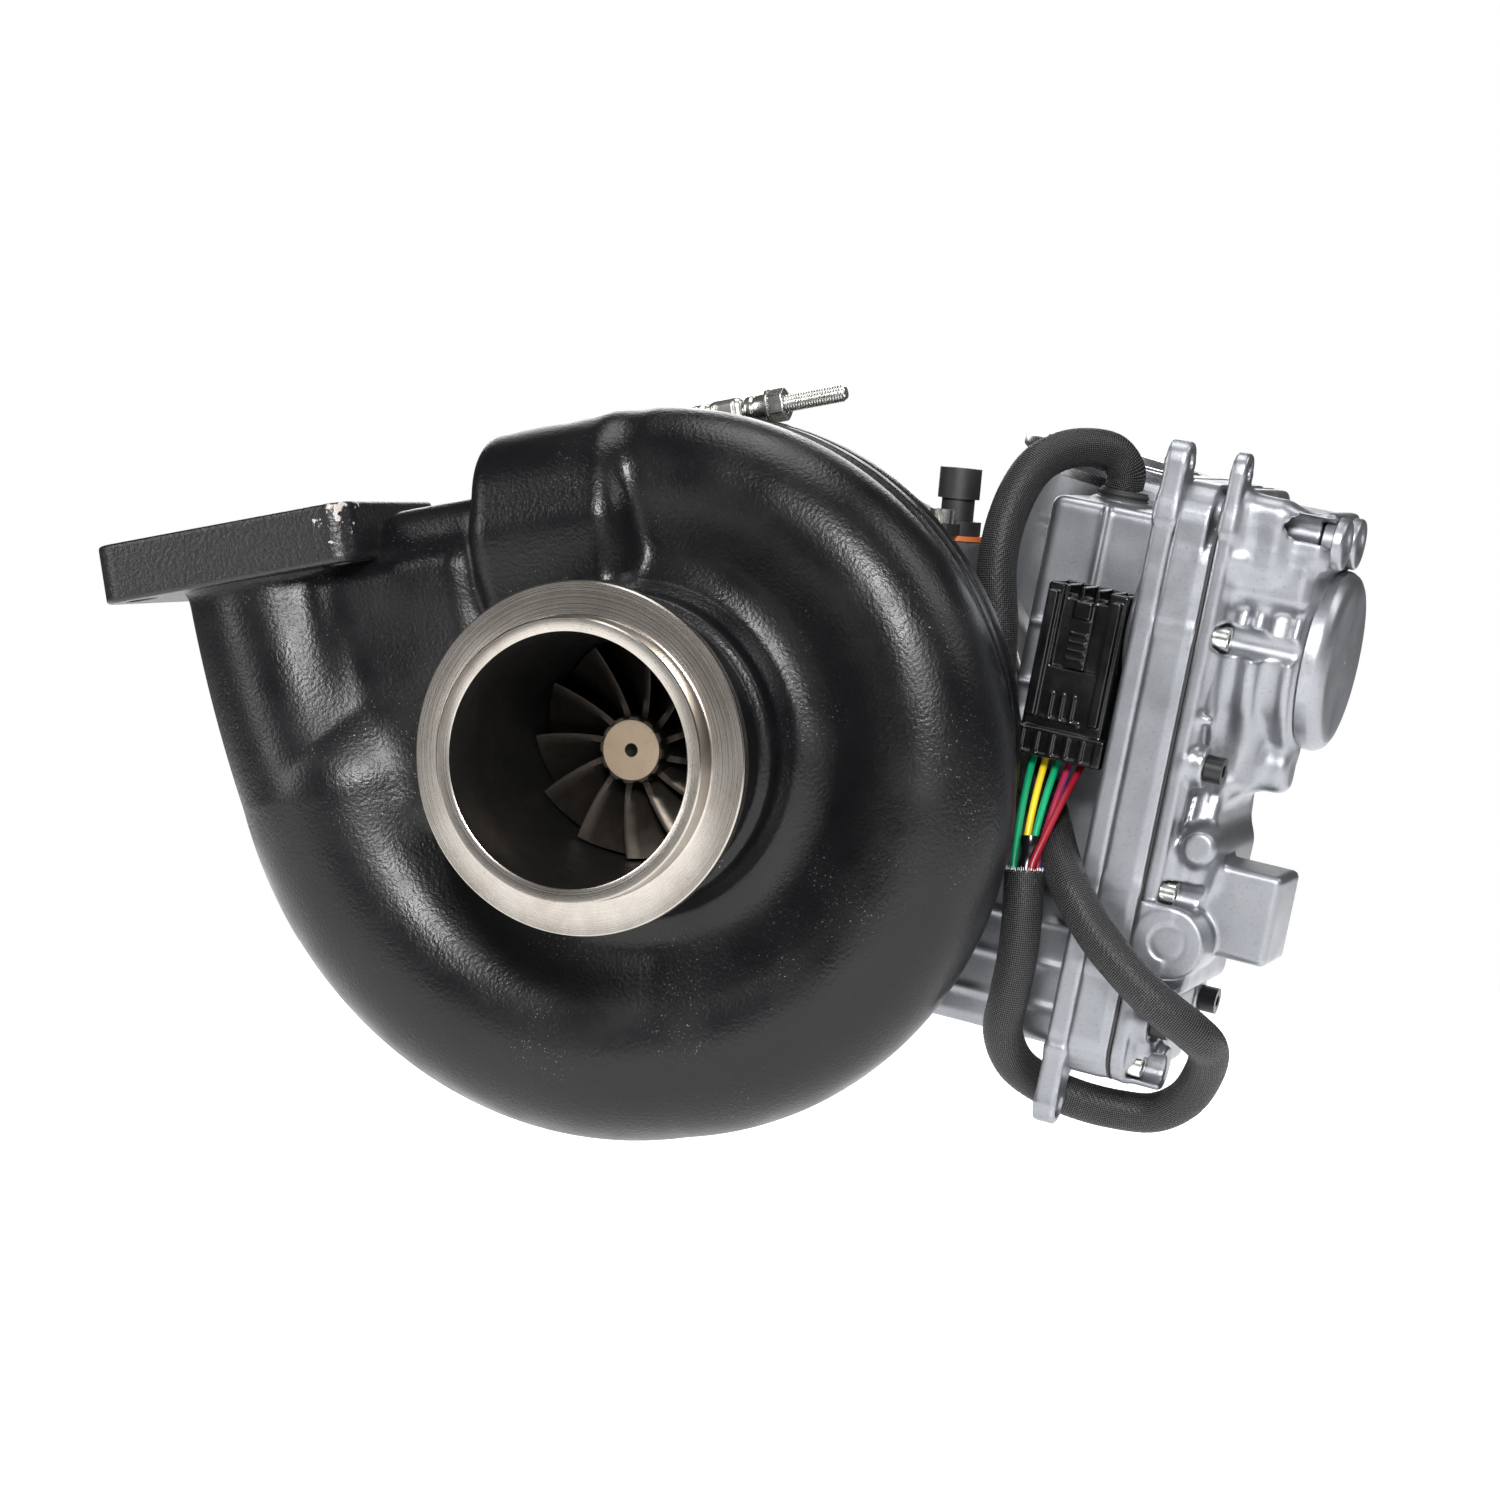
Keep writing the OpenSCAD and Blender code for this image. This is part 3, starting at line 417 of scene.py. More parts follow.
def lathe(name, profile, material, node=None, body=BODY, axis="y", centre=(0, 0, 0), ease=0.4, steps=144,
          place=IDENTITY, wave=None):
    """A closed profile of (radius, along) turned about an axis, its corners eased."""
    points = []
    outline = eased(profile, ease)
    for radius, along in outline:
        for k in range(steps):
            angle = math.tau * k / steps
            r = radius * (wave(angle, radius, along) if wave else 1)
            a, b = r * math.cos(angle), r * math.sin(angle)
            points.append({"y": (a, along, -b), "x": (along, a, b), "z": (a, b, along)}[axis])
    points = np.array(points) + np.array(centre)
    return piece(name, points, ring_faces(len(outline), steps, closed=True), material, node, body, place)


def unit(v):
    return v / max(1e-9, float(np.linalg.norm(v)))


def smooth_route(route, spacing):
    """A Catmull-Rom curve through the route's points, evenly spaced."""
    p = np.array(route, dtype=float)
    p = np.vstack([2 * p[0] - p[1], p, 2 * p[-1] - p[-2]])
    dense = []
    for i in range(1, len(p) - 2):
        for t in np.linspace(0, 1, 24, endpoint=False):
            a, b, c, d = p[i - 1:i + 3]
            dense.append(0.5 * (2 * b + (c - a) * t + (2 * a - 5 * b + 4 * c - d) * t * t
                                + (3 * b - a - 3 * c + d) * t ** 3))
    dense = np.array(dense + [p[-2]])
    travelled = np.concatenate([[0], np.cumsum(np.linalg.norm(np.diff(dense, axis=0), axis=1))])
    count = max(3, int(travelled[-1] / spacing) + 1)
    at = np.linspace(0, travelled[-1], count)
    return np.stack([np.interp(at, travelled, dense[:, k]) for k in range(3)], axis=1), travelled[-1]


def frames_along(path):
    """Two directions across a path at each of its points, carried along without twist."""
    along = np.gradient(path, axis=0)
    side = unit(np.cross(along[0], (0.3, 0.9, 0.2)))
    sides, ups = [], []
    for d in along:
        d = unit(d)
        side = unit(side - d * np.dot(side, d))
        sides.append(side)
        ups.append(np.cross(d, side))
    return np.array(sides), np.array(ups)


def tube(name, path, radius, material, sides=16, node=None, relief=None, hollow=None, uv_scale=None):
    """A tube along a path in millimetres. relief(around, along) raises its skin; hollow opens its ends."""
    side, up = frames_along(path)
    rows = len(path)
    around = np.arange(sides) * math.tau / sides
    along = np.concatenate([[0], np.cumsum(np.linalg.norm(np.diff(path, axis=0), axis=1))])
    r = np.broadcast_to(np.asarray(radius, dtype=float).reshape(-1, 1), (rows, sides)).copy()
    if relief is not None:
        r += relief(around[None, :], along[:, None])

    def rings(at, radii):
        """Rings of points about some of the path's points."""
        cosine, sine = np.cos(around)[None, :, None], np.sin(around)[None, :, None]
        spokes = cosine * side[at][:, None, :] + sine * up[at][:, None, :]
        return path[at][:, None, :] + radii[..., None] * spokes

    points = rings(slice(None), r).reshape(-1, 3)
    uv = None
    if uv_scale:
        u = np.broadcast_to(around[None, :] / math.tau * uv_scale[0], (rows, sides))
        v = np.broadcast_to(along[:, None] * uv_scale[1], (rows, sides))
        uv = np.stack([u, v], axis=-1).reshape(-1, 2)
    faces = ring_faces(rows, sides)
    last = (rows - 1) * sides
    if hollow:
        inner = rings([0, -1], r[[0, -1]] - hollow)
        deep = inner + np.array([unit(path[3] - path[0]), unit(path[-4] - path[-1])])[:, None, :] * hollow * 5
        rim = [len(points) + k * sides for k in range(4)]
        points = np.vstack([points, inner.reshape(-1, 3), deep.reshape(-1, 3)])
        for j in range(sides):
            k = (j + 1) % sides
            faces += [(j, rim[0] + j, rim[0] + k, k),
                      (rim[0] + j, rim[2] + j, rim[2] + k, rim[0] + k),
                      (last + j, last + k, rim[1] + k, rim[1] + j),
                      (rim[1] + j, rim[1] + k, rim[3] + k, rim[3] + j)]
        ends = rim[2], rim[3]
        if uv is not None:
            uv = np.vstack([uv, np.tile(uv[:sides], (4, 1))])
    else:
        ends = 0, last
    caps = [tuple(first + j for j in range(sides)) for first in ends]
    caps[1 if hollow else 0] = caps[1 if hollow else 0][::-1]
    return piece(name, points, faces + caps, material, node, uv=uv, sharp=60)


# ---------------------------------------------------------------- castings
FAR = 1000.0


def capped(across, along, r):
    """Signed distance to a shape from its distances across and along, with edges rounded by r."""
    outside = np.hypot(np.maximum(across, 0), np.maximum(along, 0))
    return outside + np.minimum(np.maximum(across, along), 0) - r


def box(low, high, r=2.0):
    """A box with rounded edges, as a signed distance."""
    middle = [(a + b) / 2 for a, b in zip(low, high)]
    half = [(b - a) / 2 - r for a, b in zip(low, high)]

    def distance(x, y, z):
        q = [abs(p - m) - h for p, m, h in zip((x, y, z), middle, half)]
        outside = np.sqrt(sum(np.maximum(v, 0) ** 2 for v in q))
        return outside + np.minimum(np.maximum(np.maximum(q[0], q[1]), q[2]), 0) - r
    return distance, low, high


def rod(axis, radius, start, end, a, b, r=1.0):
    """A cylinder along an axis, from start to end, centred at a, b on the other two axes in order."""
    k = "xyz".index(axis)
    others = [i for i in range(3) if i != k]
    low, high = [0, 0, 0], [0, 0, 0]
    low[k], high[k] = start, end
    for i, centre in zip(others, (a, b)):
        low[i], high[i] = centre - radius, centre + radius

    def distance(x, y, z):
        p = (x, y, z)
        across = np.hypot(p[others[0]] - a, p[others[1]] - b) - (radius - r)
        return capped(across, abs(p[k] - (start + end) / 2) - ((end - start) / 2 - r), r)
    return distance, low, high


def outline_distance(outline, a, b):
    """Signed distance from points (a, b) to a closed outline."""
    nearest = np.full(np.broadcast(a, b).shape, FAR ** 2, dtype=np.float32)
    inside = np.zeros(nearest.shape, dtype=bool)
    for (a0, b0), (a1, b1) in zip(outline, outline[1:] + outline[:1]):
        ea, eb = a1 - a0, b1 - b0
        t = np.clip(((a - a0) * ea + (b - b0) * eb) / max(ea * ea + eb * eb, 1e-9), 0, 1)
        nearest = np.minimum(nearest, (a - a0 - ea * t) ** 2 + (b - b0 - eb * t) ** 2)
        if b0 != b1:
            inside ^= ((b0 > b) != (b1 > b)) & (a < ea * (b - b0) / eb + a0)
    return np.where(inside, -np.sqrt(nearest), np.sqrt(nearest)).astype(np.float32)


def turned(profile):
    """A profile of (radius, along Y) turned about the rotor axis, as a signed distance."""
    outline = [(-40.0 if radius == 0 else radius, along) for radius, along in profile]
    big, start, end = max(p[0] for p in outline), min(p[1] for p in outline), max(p[1] for p in outline)

    def distance(x, y, z):
        r = np.hypot(x, z)[:, 0, :]
        table_r = np.arange(0, float(r.max()) + 1.0, 0.5, dtype=np.float32)
        table = outline_distance(outline, table_r[:, None], y[0, :, 0][None, :])
        at = r / 0.5
        i = at.astype(np.int32)
        part = (at - i)[..., None]
        return np.swapaxes(table[i] * (1 - part) + table[i + 1] * part, 1, 2)
    return distance, (-big, start, -big), (big, end, big)


def plate(outline, start, end, r=0.8):
    """An outline in (y, w) made into a plate from u = start to end, with eased edges."""
    low = (start, min(p[0] for p in outline), min(p[1] for p in outline))
    high = (end, max(p[0] for p in outline), max(p[1] for p in outline))

    def distance(x, y, z):
        across = outline_distance(outline, y[0, :, 0][:, None], z[0, 0, :][None, :])[None] + r
        return capped(across, abs(x - (start + end) / 2) - ((end - start) / 2 - r), r)
    return distance, low, high


def rounded(low, high, r):
    """A rectangle with round corners, as an outline."""
    corners = ((high[0] - r, high[1] - r, 0), (low[0] + r, high[1] - r, 90), (low[0] + r, low[1] + r, 180),
               (high[0] - r, low[1] + r, 270))
    outline = []
    for a, b, start in corners:
        for k in range(7):
            angle = math.radians(start + 15 * k)
            outline.append((a + r * math.cos(angle), b + r * math.sin(angle)))
    return outline


class Casting:
    """A block of space in which rounded solids are joined with fillets, cut, and then skinned."""

    def __init__(self, low, high, step):
        self.low = np.array(low, dtype=np.float32)
        self.step = step
        self.axes = [np.arange(l, h + step, step, dtype=np.float32) for l, h in zip(low, high)]
        self.field = np.full([len(a) for a in self.axes], FAR, dtype=np.float32)

    def window(self, low, high, margin):
        cut = []
        for axis, l, h in zip(self.axes, low, high):
            cut.append(slice(int(np.searchsorted(axis, l - margin)), int(np.searchsorted(axis, h + margin))))
        x, y, z = (axis[c] for axis, c in zip(self.axes, cut))
        return tuple(cut), x[:, None, None], y[None, :, None], z[None, None, :]

    def blend(self, shape, fillet, sign):
        distance, low, high = shape
        where, x, y, z = self.window(low, high, fillet + 4 * self.step)
        old, new = sign * self.field[where], distance(x, y, z)
        overlap = np.maximum(fillet - np.abs(old - new), 0)
        self.field[where] = sign * (np.minimum(old, new) - overlap * overlap / (4 * fillet))

    def add(self, shape, fillet=4.0):
        self.blend(shape, fillet, 1)

    def cut(self, shape, fillet=0.8):
        self.blend(shape, fillet, -1)

    def boxes(self, *rows):
        """Adds a run of boxes, each given as its low corner, high corner, edge radius and fillet."""
        for low, high, r, fillet in rows:
            self.add(box(low, high, r), fillet)

    def skin(self, name, material, node, place=IDENTITY):
        grid = openvdb.FloatGrid(3 * self.step)
        edge = np.full([n + 2 for n in self.field.shape], 3 * self.step, dtype=np.float32)
        edge[1:-1, 1:-1, 1:-1] = np.clip(self.field, -3 * self.step, 3 * self.step)
        grid.copyFromArray(edge)
        points, quads = grid.convertToQuads(0.0)
        points = (points - 1) * self.step + self.low
        a, b, c = (points[quads[:, i]] for i in (0, 1, 2))
        if float(np.einsum("ij,ij->i", a, np.cross(b - a, c - a)).sum()) < 0:
            quads = quads[:, ::-1]
        return build(name, (points * MM).astype(np.float32), quads.astype(np.int32).ravel(), [4] * len(quads),
                     material, node, BODY, place)


# ---------------------------------------------------------------- harness
SLEEVE_ROUTE = [
    (148, 188, 66), (150, 187, 72), (147, 184, 79), (140, 178, 82), (132, 171, 82), (124, 163, 78),
    (117, 157, 69), (111, 152, 56), (107, 150, 42), (105, 150, 26), (102, 151, 12), (100, 152, -1),
    (100, 152, -13), (104, 151, -25), (112, 146, -38), (117, 135, -49), (121, 124, -58),
    (126, 113, -68), (135, 108, -88), (150, 106, -110), (162, 112, -125), (163, 124, -133),
    (157, 136, -142), (147, 144, -151), (134, 148, -155), (120, 147, -152), (107, 143, -146),
    (96, 139, -138), (91, 131, -129), (92, 121, -117), (98, 115, -105), (104, 113, -91),
    (108, 113, -77), (111, 114, -62)
]
SLEEVE_R = 7.0
GLAND = (115, 188)
WIRE_R = 1.3
WIRE_STARTS = [(-4, 0), (-1.5, 3), (1.5, 0), (4, 3), (3.5, -2.5)]
WIRE_MATERIALS = ["wire_green", "wire_yellow", "wire_green", "wire_striped", "wire_red"]
STRANDS = 20


def braid_relief(around, along):
    """Two sets of crossing strands, each passing over the other in turn."""
    pitch = STRANDS / SLEEVE_R
    a = np.sin((STRANDS * around + pitch * along) / 2)
    b = np.sin((STRANDS * around - pitch * along) / 2)
    over = np.sin(STRANDS * around + pitch * along) * np.sin(STRANDS * around - pitch * along) > 0
    return 0.26 * np.where(over, np.abs(a), np.abs(b)) - 0.2


def make_harness():
    path, length = smooth_route(SLEEVE_ROUTE, 0.42)
    sleeve = tube("harness_sleeve_braid", path, SLEEVE_R, "braid_cloth", 120, node="harness_sleeve",
                  relief=braid_relief, hollow=1.1, uv_scale=(STRANDS, STRANDS / (math.tau * SLEEVE_R)))
    mouth = np.array(SLEEVE_ROUTE[-1], dtype=float)
    pieces = []
    for i, (dx, dy) in enumerate(WIRE_STARTS):
        foot = mouth + np.array((dx, dy, 1))
        head = np.array((122.9, 137, -25.8)) + (i - 2) * np.array((4.2, 0, -1.6))
        route = [foot + (head - foot) * k / 4 + np.array((0, -3 * math.sin(math.pi * k / 4), 0))
                 for k in range(5)]
        route.insert(0, foot + np.array((0.2, 0, -4)))
        wire, _ = smooth_route(route, 0.8)
        pieces.append(tube(f"wire_{i + 1}", wire, WIRE_R, WIRE_MATERIALS[i], 14, uv_scale=(1, 0.05),
                           node="harness_wires"))
    shrink_route = [mouth + np.array(p) for p in ((-1, 1, -5), (0.5, 1.5, 1), (2.2, 2.5, 6), (3.2, 3.4, 11))]
    shrink, _ = smooth_route(shrink_route, 0.6)
    swell = 3.5 + 0.35 * np.sin(np.linspace(0, 9, len(shrink)))
    pieces.append(tube("heat_shrink", shrink, swell, "black_plastic", 24, hollow=0.6))
    pieces.append(frayed_rim("sleeve_mouth_threads", path[-1], unit(path[-1] - path[-6]), SLEEVE_R - 0.3))
    pieces += [ribbed_gland(), *make_connector()]


def frayed_rim(name, centre, along, radius):
    """Short cut threads standing round the sleeve's open mouth."""
    side = unit(np.cross(along, (0.3, 0.9, 0.2)))
    up = np.cross(along, side)
    points, faces = [], []
    rng = np.random.default_rng(4)
    for k in range(72):
        angle = math.tau * k / 72
        out = math.cos(angle) * side + math.sin(angle) * up
        turn = -math.sin(angle) * side + math.cos(angle) * up
        foot = centre + out * radius - along * 0.8
        tip = foot + along * (1.2 + 0.9 * rng.random()) + out * (0.5 * rng.random() - 0.1)
        tip = tip + turn * (rng.random() - 0.5)
        first = len(points)
        for end, r in ((foot, 0.22), (tip, 0.12)):
            points += [end + r * (math.cos(q) * out + math.sin(q) * turn) for q in (0, 2.1, 4.2)]
        faces += [(first + j, first + (j + 1) % 3, first + 3 + (j + 1) % 3, first + 3 + j) for j in range(3)]
        faces += [(first + 2, first + 1, first), (first + 3, first + 4, first + 5)]
    return piece(name, points, faces, "white_tape", sharp=None)


def ribbed_gland():
    """The ribbed rubber gland that the sleeve leaves the actuator through."""
    profile = [(3.2, 103), (7.1, 103), (7.1, 109.2), (9.5, 109.2), (9.5, 110.8), (8.7, 111.4), (9.3, 112),
               (9.3, 112.8), (8.5, 113.4), (8.5, 114), (3.2, 114)]
    return lathe("gland_ribbed", profile, "black_rubber", "harness_gland", axis="z", centre=(*GLAND, 0),
                 ease=0.2, steps=64, place=ACT)


def make_connector():
    shape = Casting((107, 122, 17), (145, 152, 84), 0.4)
    shape.add(box((110.5, 127, 26), (140, 149, 81), 1.2), 0.5)
    shape.add(box((110, 125, 20), (142, 150, 30), 0.9), 0.6)
    for u in (111.5, 134.5):
        shape.add(box((u, 124.8, 34), (u + 3.5, 128, 78), 0.5), 0.5)
    shape.cut(box((116.5, 123, 52), (133, 129.4, 86), 0.5), 0.4)
    shape.add(box((117, 126.2, 33), (131, 127.6, 34.2), 0.3), 0.3)
    for u in (119, 123, 127):
        shape.add(box((u, 126.2, 34), (u + 1.2, 127.6, 43), 0.3), 0.3)
    for u in (112.8, 118.3, 123.8, 129.3, 134.8):
        shape.cut(box((u, 124, 21.4), (u + 3.6, 125.8, 28.6), 0.2), 0.3)
    for u in (112.4, 117.8, 123.2, 128.6, 134):
        shape.cut(box((u, 129.5, 76), (u + 4.2, 146, 86), 0.5), 0.3)
    for w in (38, 44, 50, 56, 62, 68):
        shape.cut(box((139.2, 131, w), (142, 146, w + 2.6), 0.4), 0.4)
    body = shape.skin("connector_body", "black_plastic", "connector", ACT)
    latch = Casting((119, 122, 50), (131, 131, 78), 0.3)
    latch.add(box((121, 126, 52.4), (129, 129.3, 76), 0.5), 0.5)
    latch.add(box((122, 124.7, 70), (128, 129.3, 76), 0.6), 0.8)
    for w in (55, 58, 61, 64):
        latch.add(box((121.8, 125.4, w), (128.2, 126.6, w + 1.1), 0.3), 0.3)
    arm = latch.skin("connector_latch_arm", "black_plastic", "connector_latch", ACT)
    return [body, arm]


make_harness()


# ---------------------------------------------------------------- turbine housing
VOLUTE_Y = 77.0
INLET = (-140.0, 78.0)
WALL = 6.0


def volute_section(t, inset):
    """Centre radius, tube radius and centre along Y of the volute at a wrap angle from 180 to 440 degrees."""
    fade = (1 + np.cos(np.pi * np.clip((t - 235) / 210, 0, 1))) / 2
    swell = 23 * np.maximum(0, 1 - np.clip((t - 180) / 85, 0, 1)) ** 1.1
    outer = 117 + 21 * fade + swell
    tube_r = 40 - 16 * (t - 180) / 260
    if inset:
        channel = np.minimum((outer - WALL - 80) / 2, tube_r - WALL)
        return outer - WALL - channel, channel, VOLUTE_Y + 7 * (t - 180) / 260
    return outer - tube_r, tube_r, VOLUTE_Y + 0 * t


def volute(inset=0):
    def distance(x, y, z):
        x2, z2 = x[:, 0, :], z[:, 0, :]
        t = np.degrees(np.arctan2(z2, x2)) % 360
        t = np.clip(np.where(t < 130, t + 360, t), 180, 440)
        centre, radius, along = volute_section(t, inset)
        cx, cz = centre * np.cos(np.radians(t)), centre * np.sin(np.radians(t))
        across = (x2 - cx) ** 2 + (z2 - cz) ** 2
        return np.sqrt(across[:, None, :] + (y - along[:, None, :]) ** 2) - radius[:, None, :]
    return distance, (-165, 34, -145), (142, 120, 125)


def inlet_pipe(inset=0.0, top=96.0):
    def distance(x, y, z):
        s = np.clip(1 - z / 96, 0, 1)
        radius = 31.5 + 8.5 * s * s - inset
        across = np.hypot(x - (INLET[0] + 19 * s * s), y - (INLET[1] + (VOLUTE_Y - INLET[1]) * s)) - radius
        return np.maximum(np.maximum(across, -z), z - top)
    return distance, (-180, 36, 0), (-80, 120, top)


def make_turbine_housing():
    shape = Casting((-192, 4, -146), (146, 126, 124), 1.25)
    add, cut = shape.add, shape.cut
    add(volute(), 1)
    add(inlet_pipe(), 0.3)
    add(turned([(0, 6), (50.2, 6), (50.2, 36), (54, 38), (54, 46), (58, 52), (70, 58), (90, 64), (92, 104),
                (113, 106), (114, 121), (0, 121)]), 16)
    add(box((-112, 54, -12), (-54, 102, 80), 8), 14)
    add(box((-90, 62, 60), (-32, 103, 96), 9), 12)
    add(box((-46, 43.5, 50), (6, 103, 86), 7), 8)
    add(rod("x", 32.5, -46, 8, 76, 84, 7), 10)
    add(box((INLET[0] - 48, INLET[1] - 36, 84), (INLET[0] + 48, INLET[1] + 36, 97), 5), 9)
    cut(volute(1), 0.8)
    cut(inlet_pipe(WALL, 130.0), 0.8)
    cut(turned([(0, -10), (43, -10), (43, 15), (39.4, 48), (39.4, 60), (40.4, 68), (43, 75), (47.6, 80.5),
                (86.6, 80.5), (86.6, 128), (0, 128)]), 0.5)
    shape.skin("turbine_casting", "black_cast", "turbine_housing")
    skins = (
        ("outlet_flange", "outlet_steel", 0.5, 192, [
            (42.2, -9), (47, -9), (47, -0.6), (47.6, 0), (58.5, 0), (58.5, 4.6), (51, 11.4), (49.6, 14),
            (42.65, 14), (42.65, -8.3), (42.2, -8.3)]),
        # The outlet bore's lining is near black: soot together with painted shade in the deep bore.
        ("outlet_bore", "bore_soot_and_shade", 0.3, 192, [
            (42.2, 15), (42.2, -8.2), (42.6, -8.2), (42.6, 14.2), (43.2, 14.2), (39.7, 48), (39.7, 60),
            (40.6, 68), (43.4, 75.4), (42.5, 75.6), (39.6, 68), (38.7, 60), (38.7, 48)]),
        ("rear_rim", "black_cast", 0.4, 240, [
            (104, 106), (111.5, 106), (115.5, 109), (115.5, 114.6), (114.2, 115.4), (114.2, 116.6),
            (115.5, 117.4), (115.5, 123.6), (104.6, 124), (104.6, 127.4), (86.2, 127.4), (86.2, 120)]),
    )
    for name, material, ease, steps, profile in skins:
        lathe(name, profile, material, "turbine_housing", ease=ease, steps=steps)
    make_inlet_flange()


def make_inlet_flange():
    """The square inlet flange, its corners eased and its coating chipped at one of them."""
    x0, x1, y0, y1 = INLET[0] - 51, INLET[0] + 51, INLET[1] - 39, INLET[1] + 39
    shape = Casting((x0 - 2, y0 - 2, 76), (x1 + 2, y1 + 2, 103), 0.6)

    def slab(x, y, z):
        q = [abs(x - INLET[0]) - 42, abs(y - INLET[1]) - 30, abs(z - 90.5) - 9.1]
        return capped(capped(q[0], q[1], 7.6), q[2], 1.4)
    shape.add((slab, (x0, y0, 80), (x1, y1, 101)), 0.5)
    shape.cut(inlet_pipe(WALL, 130.0), 0.5)
    for dx in (-39.5, 39.5):
        for dy in (-27.5, 27.5):
            shape.cut(rod("z", 5.5, 70, 120, INLET[0] + dx, INLET[1] + dy, 0.2), 0.8)
    shape.skin("inlet_flange", "chipped_cast", "turbine_housing")


make_turbine_housing()


# ---------------------------------------------------------------- wheels
BLADES = 12


def hub_wave(angle, radius, along):
    """Scallops round the nose of the hub, ground away between the blades for balance."""
    if along > 58 or radius < 9:
        return 1
    fade = max(0, min(1, (58 - along) / 6))
    return 1 - 0.07 * fade * max(0, math.cos(BLADES * angle)) ** 0.6


def blade_mesh(count, rows, columns, place, thickness):
    """Twisted blades as closed sheets. place(i, s, t) gives a point's radius, along and angle on blade i."""
    points, faces = [], []
    for i in range(count):
        first = len(points)
        for face in (1, -1):
            for a in range(rows + 1):
                for b in range(columns + 1):
                    radius, along, angle = place(i, a / rows, b / columns)
                    thin = thickness(a / rows, b / columns) / 2
                    turn = angle + face * thin / max(radius, 1)
                    points.append((radius * math.cos(turn), along, -radius * math.sin(turn)))
        side = (rows + 1) * (columns + 1)

        def at(face, a, b):
            return first + face * side + a * (columns + 1) + b
        for a in range(rows):
            for b in range(columns):
                faces += [(at(0, a, b), at(0, a, b + 1), at(0, a + 1, b + 1), at(0, a + 1, b)),
                          (at(1, a, b), at(1, a + 1, b), at(1, a + 1, b + 1), at(1, a, b + 1))]
        for a in range(rows):
            faces += [(at(0, a, 0), at(0, a + 1, 0), at(1, a + 1, 0), at(1, a, 0)),
                      (at(0, a, columns), at(1, a, columns), at(1, a + 1, columns), at(0, a + 1, columns))]
        for b in range(columns):
            faces += [(at(0, 0, b), at(1, 0, b), at(1, 0, b + 1), at(0, 0, b + 1)),
                      (at(0, rows, b), at(0, rows, b + 1), at(1, rows, b + 1), at(1, rows, b))]
    return points, faces


def bend(points, along):
    """The radius of a line of (along, radius) points at a place along it."""
    return float(np.interp(along, [p[0] for p in points], [p[1] for p in points]))


def make_turbine_wheel():
    hub = [(2.2, 47), (11.8, 47), (11.8, 54), (13, 66), (17, 79), (25, 89), (37, 95), (44.6, 96.6),
           (44.6, 98), (20, 99.5), (13, 99.5), (13, 112), (2.2, 112), (2.2, 106)]
    lathe("turbine_hub", hub, "wheel_alloy", "turbine_wheel", "rotor", ease=0.5, steps=240, wave=hub_wave)
    nose = [(2.3, 46.95), (10.4, 46.95), (10.4, 47.6), (2.3, 47.6)]
    lathe("hub_nose_face", nose, "hub_tan", "turbine_wheel", "rotor", ease=0.15, steps=96)
    # The centre drilling is near black: painted shade in the small hole.
    drilling = [(0.05, 49.5), (2.4, 47.1), (2.4, 51), (0.05, 52)]
    lathe("hub_centre_drilling", drilling, "bore_soot_and_shade", "turbine_wheel", "rotor", ease=0.1, steps=48)
    shroud = [(52, 37.7), (60, 37.7), (68.5, 38.7), (75.5, 41.6), (80.5, 44.6), (97, 44.6)]
    inner = [(47, 10.9), (54, 11), (66, 12.4), (79, 16.4), (89, 24.4), (95, 36), (97, 44)]

    def place(i, s, t):
        along = 52.5 + 43.5 * t
        low = bend(inner, along) - 0.8
        swirl = math.radians(54) * (1 - t) ** 2.1
        angle = math.tau * i / BLADES + swirl - math.radians(9) * s * (1 - t)
        return low + (bend(shroud, along) - low) * s, along, angle

    points, faces = blade_mesh(BLADES, 10, 18, place, lambda s, t: 2.4 - 1.5 * s)
    piece("turbine_blades", points, faces, "wheel_alloy", "turbine_wheel", "rotor", sharp=50)


def make_compressor_wheel():
    hub = [(5, 214.6), (20, 214.6), (47.9, 216), (47.9, 217.3), (36, 219), (26, 223.4), (19, 230), (14, 238),
           (11, 250), (9.5, 262), (5, 262)]
    lathe("compressor_hub", hub, "machined_aluminium", "compressor_wheel", "rotor", ease=0.5, steps=160)
    shroud = [(216.2, 47.9), (220.5, 47.9), (225, 43.8), (236, 37.9), (246, 36.4), (257, 36.4)]
    inner = [(216.2, 47.5), (217.3, 46), (219, 35), (223.4, 25), (230, 18), (238, 13.2), (250, 10.4),
             (257, 9.6)]

    def place(i, s, t):
        stop = 246 if i % 2 else 256
        along_low = 217.6 + (stop - 217.6) * t
        along_high = 219.8 + (stop - 219.8) * t
        low = bend(inner, along_low) - 0.8
        along = along_low + (along_high - along_low) * s
        radius = low + (bend(shroud, along) - 0.05 - low) * s
        swirl = math.radians(48) * t ** 1.5 - math.radians(26) * (1 - t) ** 2
        return radius, along, math.tau * i / BLADES + swirl + math.radians(5) * s * t

    points, faces = blade_mesh(BLADES, 8, 18, place, lambda s, t: 1.5 - 0.8 * s)
    piece("compressor_blades", points, faces, "machined_aluminium", "compressor_wheel", "rotor", sharp=50)


make_turbine_wheel()
make_compressor_wheel()


# ---------------------------------------------------------------- clamps
BOLT_START = 14.0
NUT_START = 30.4
STRAP = 1.6


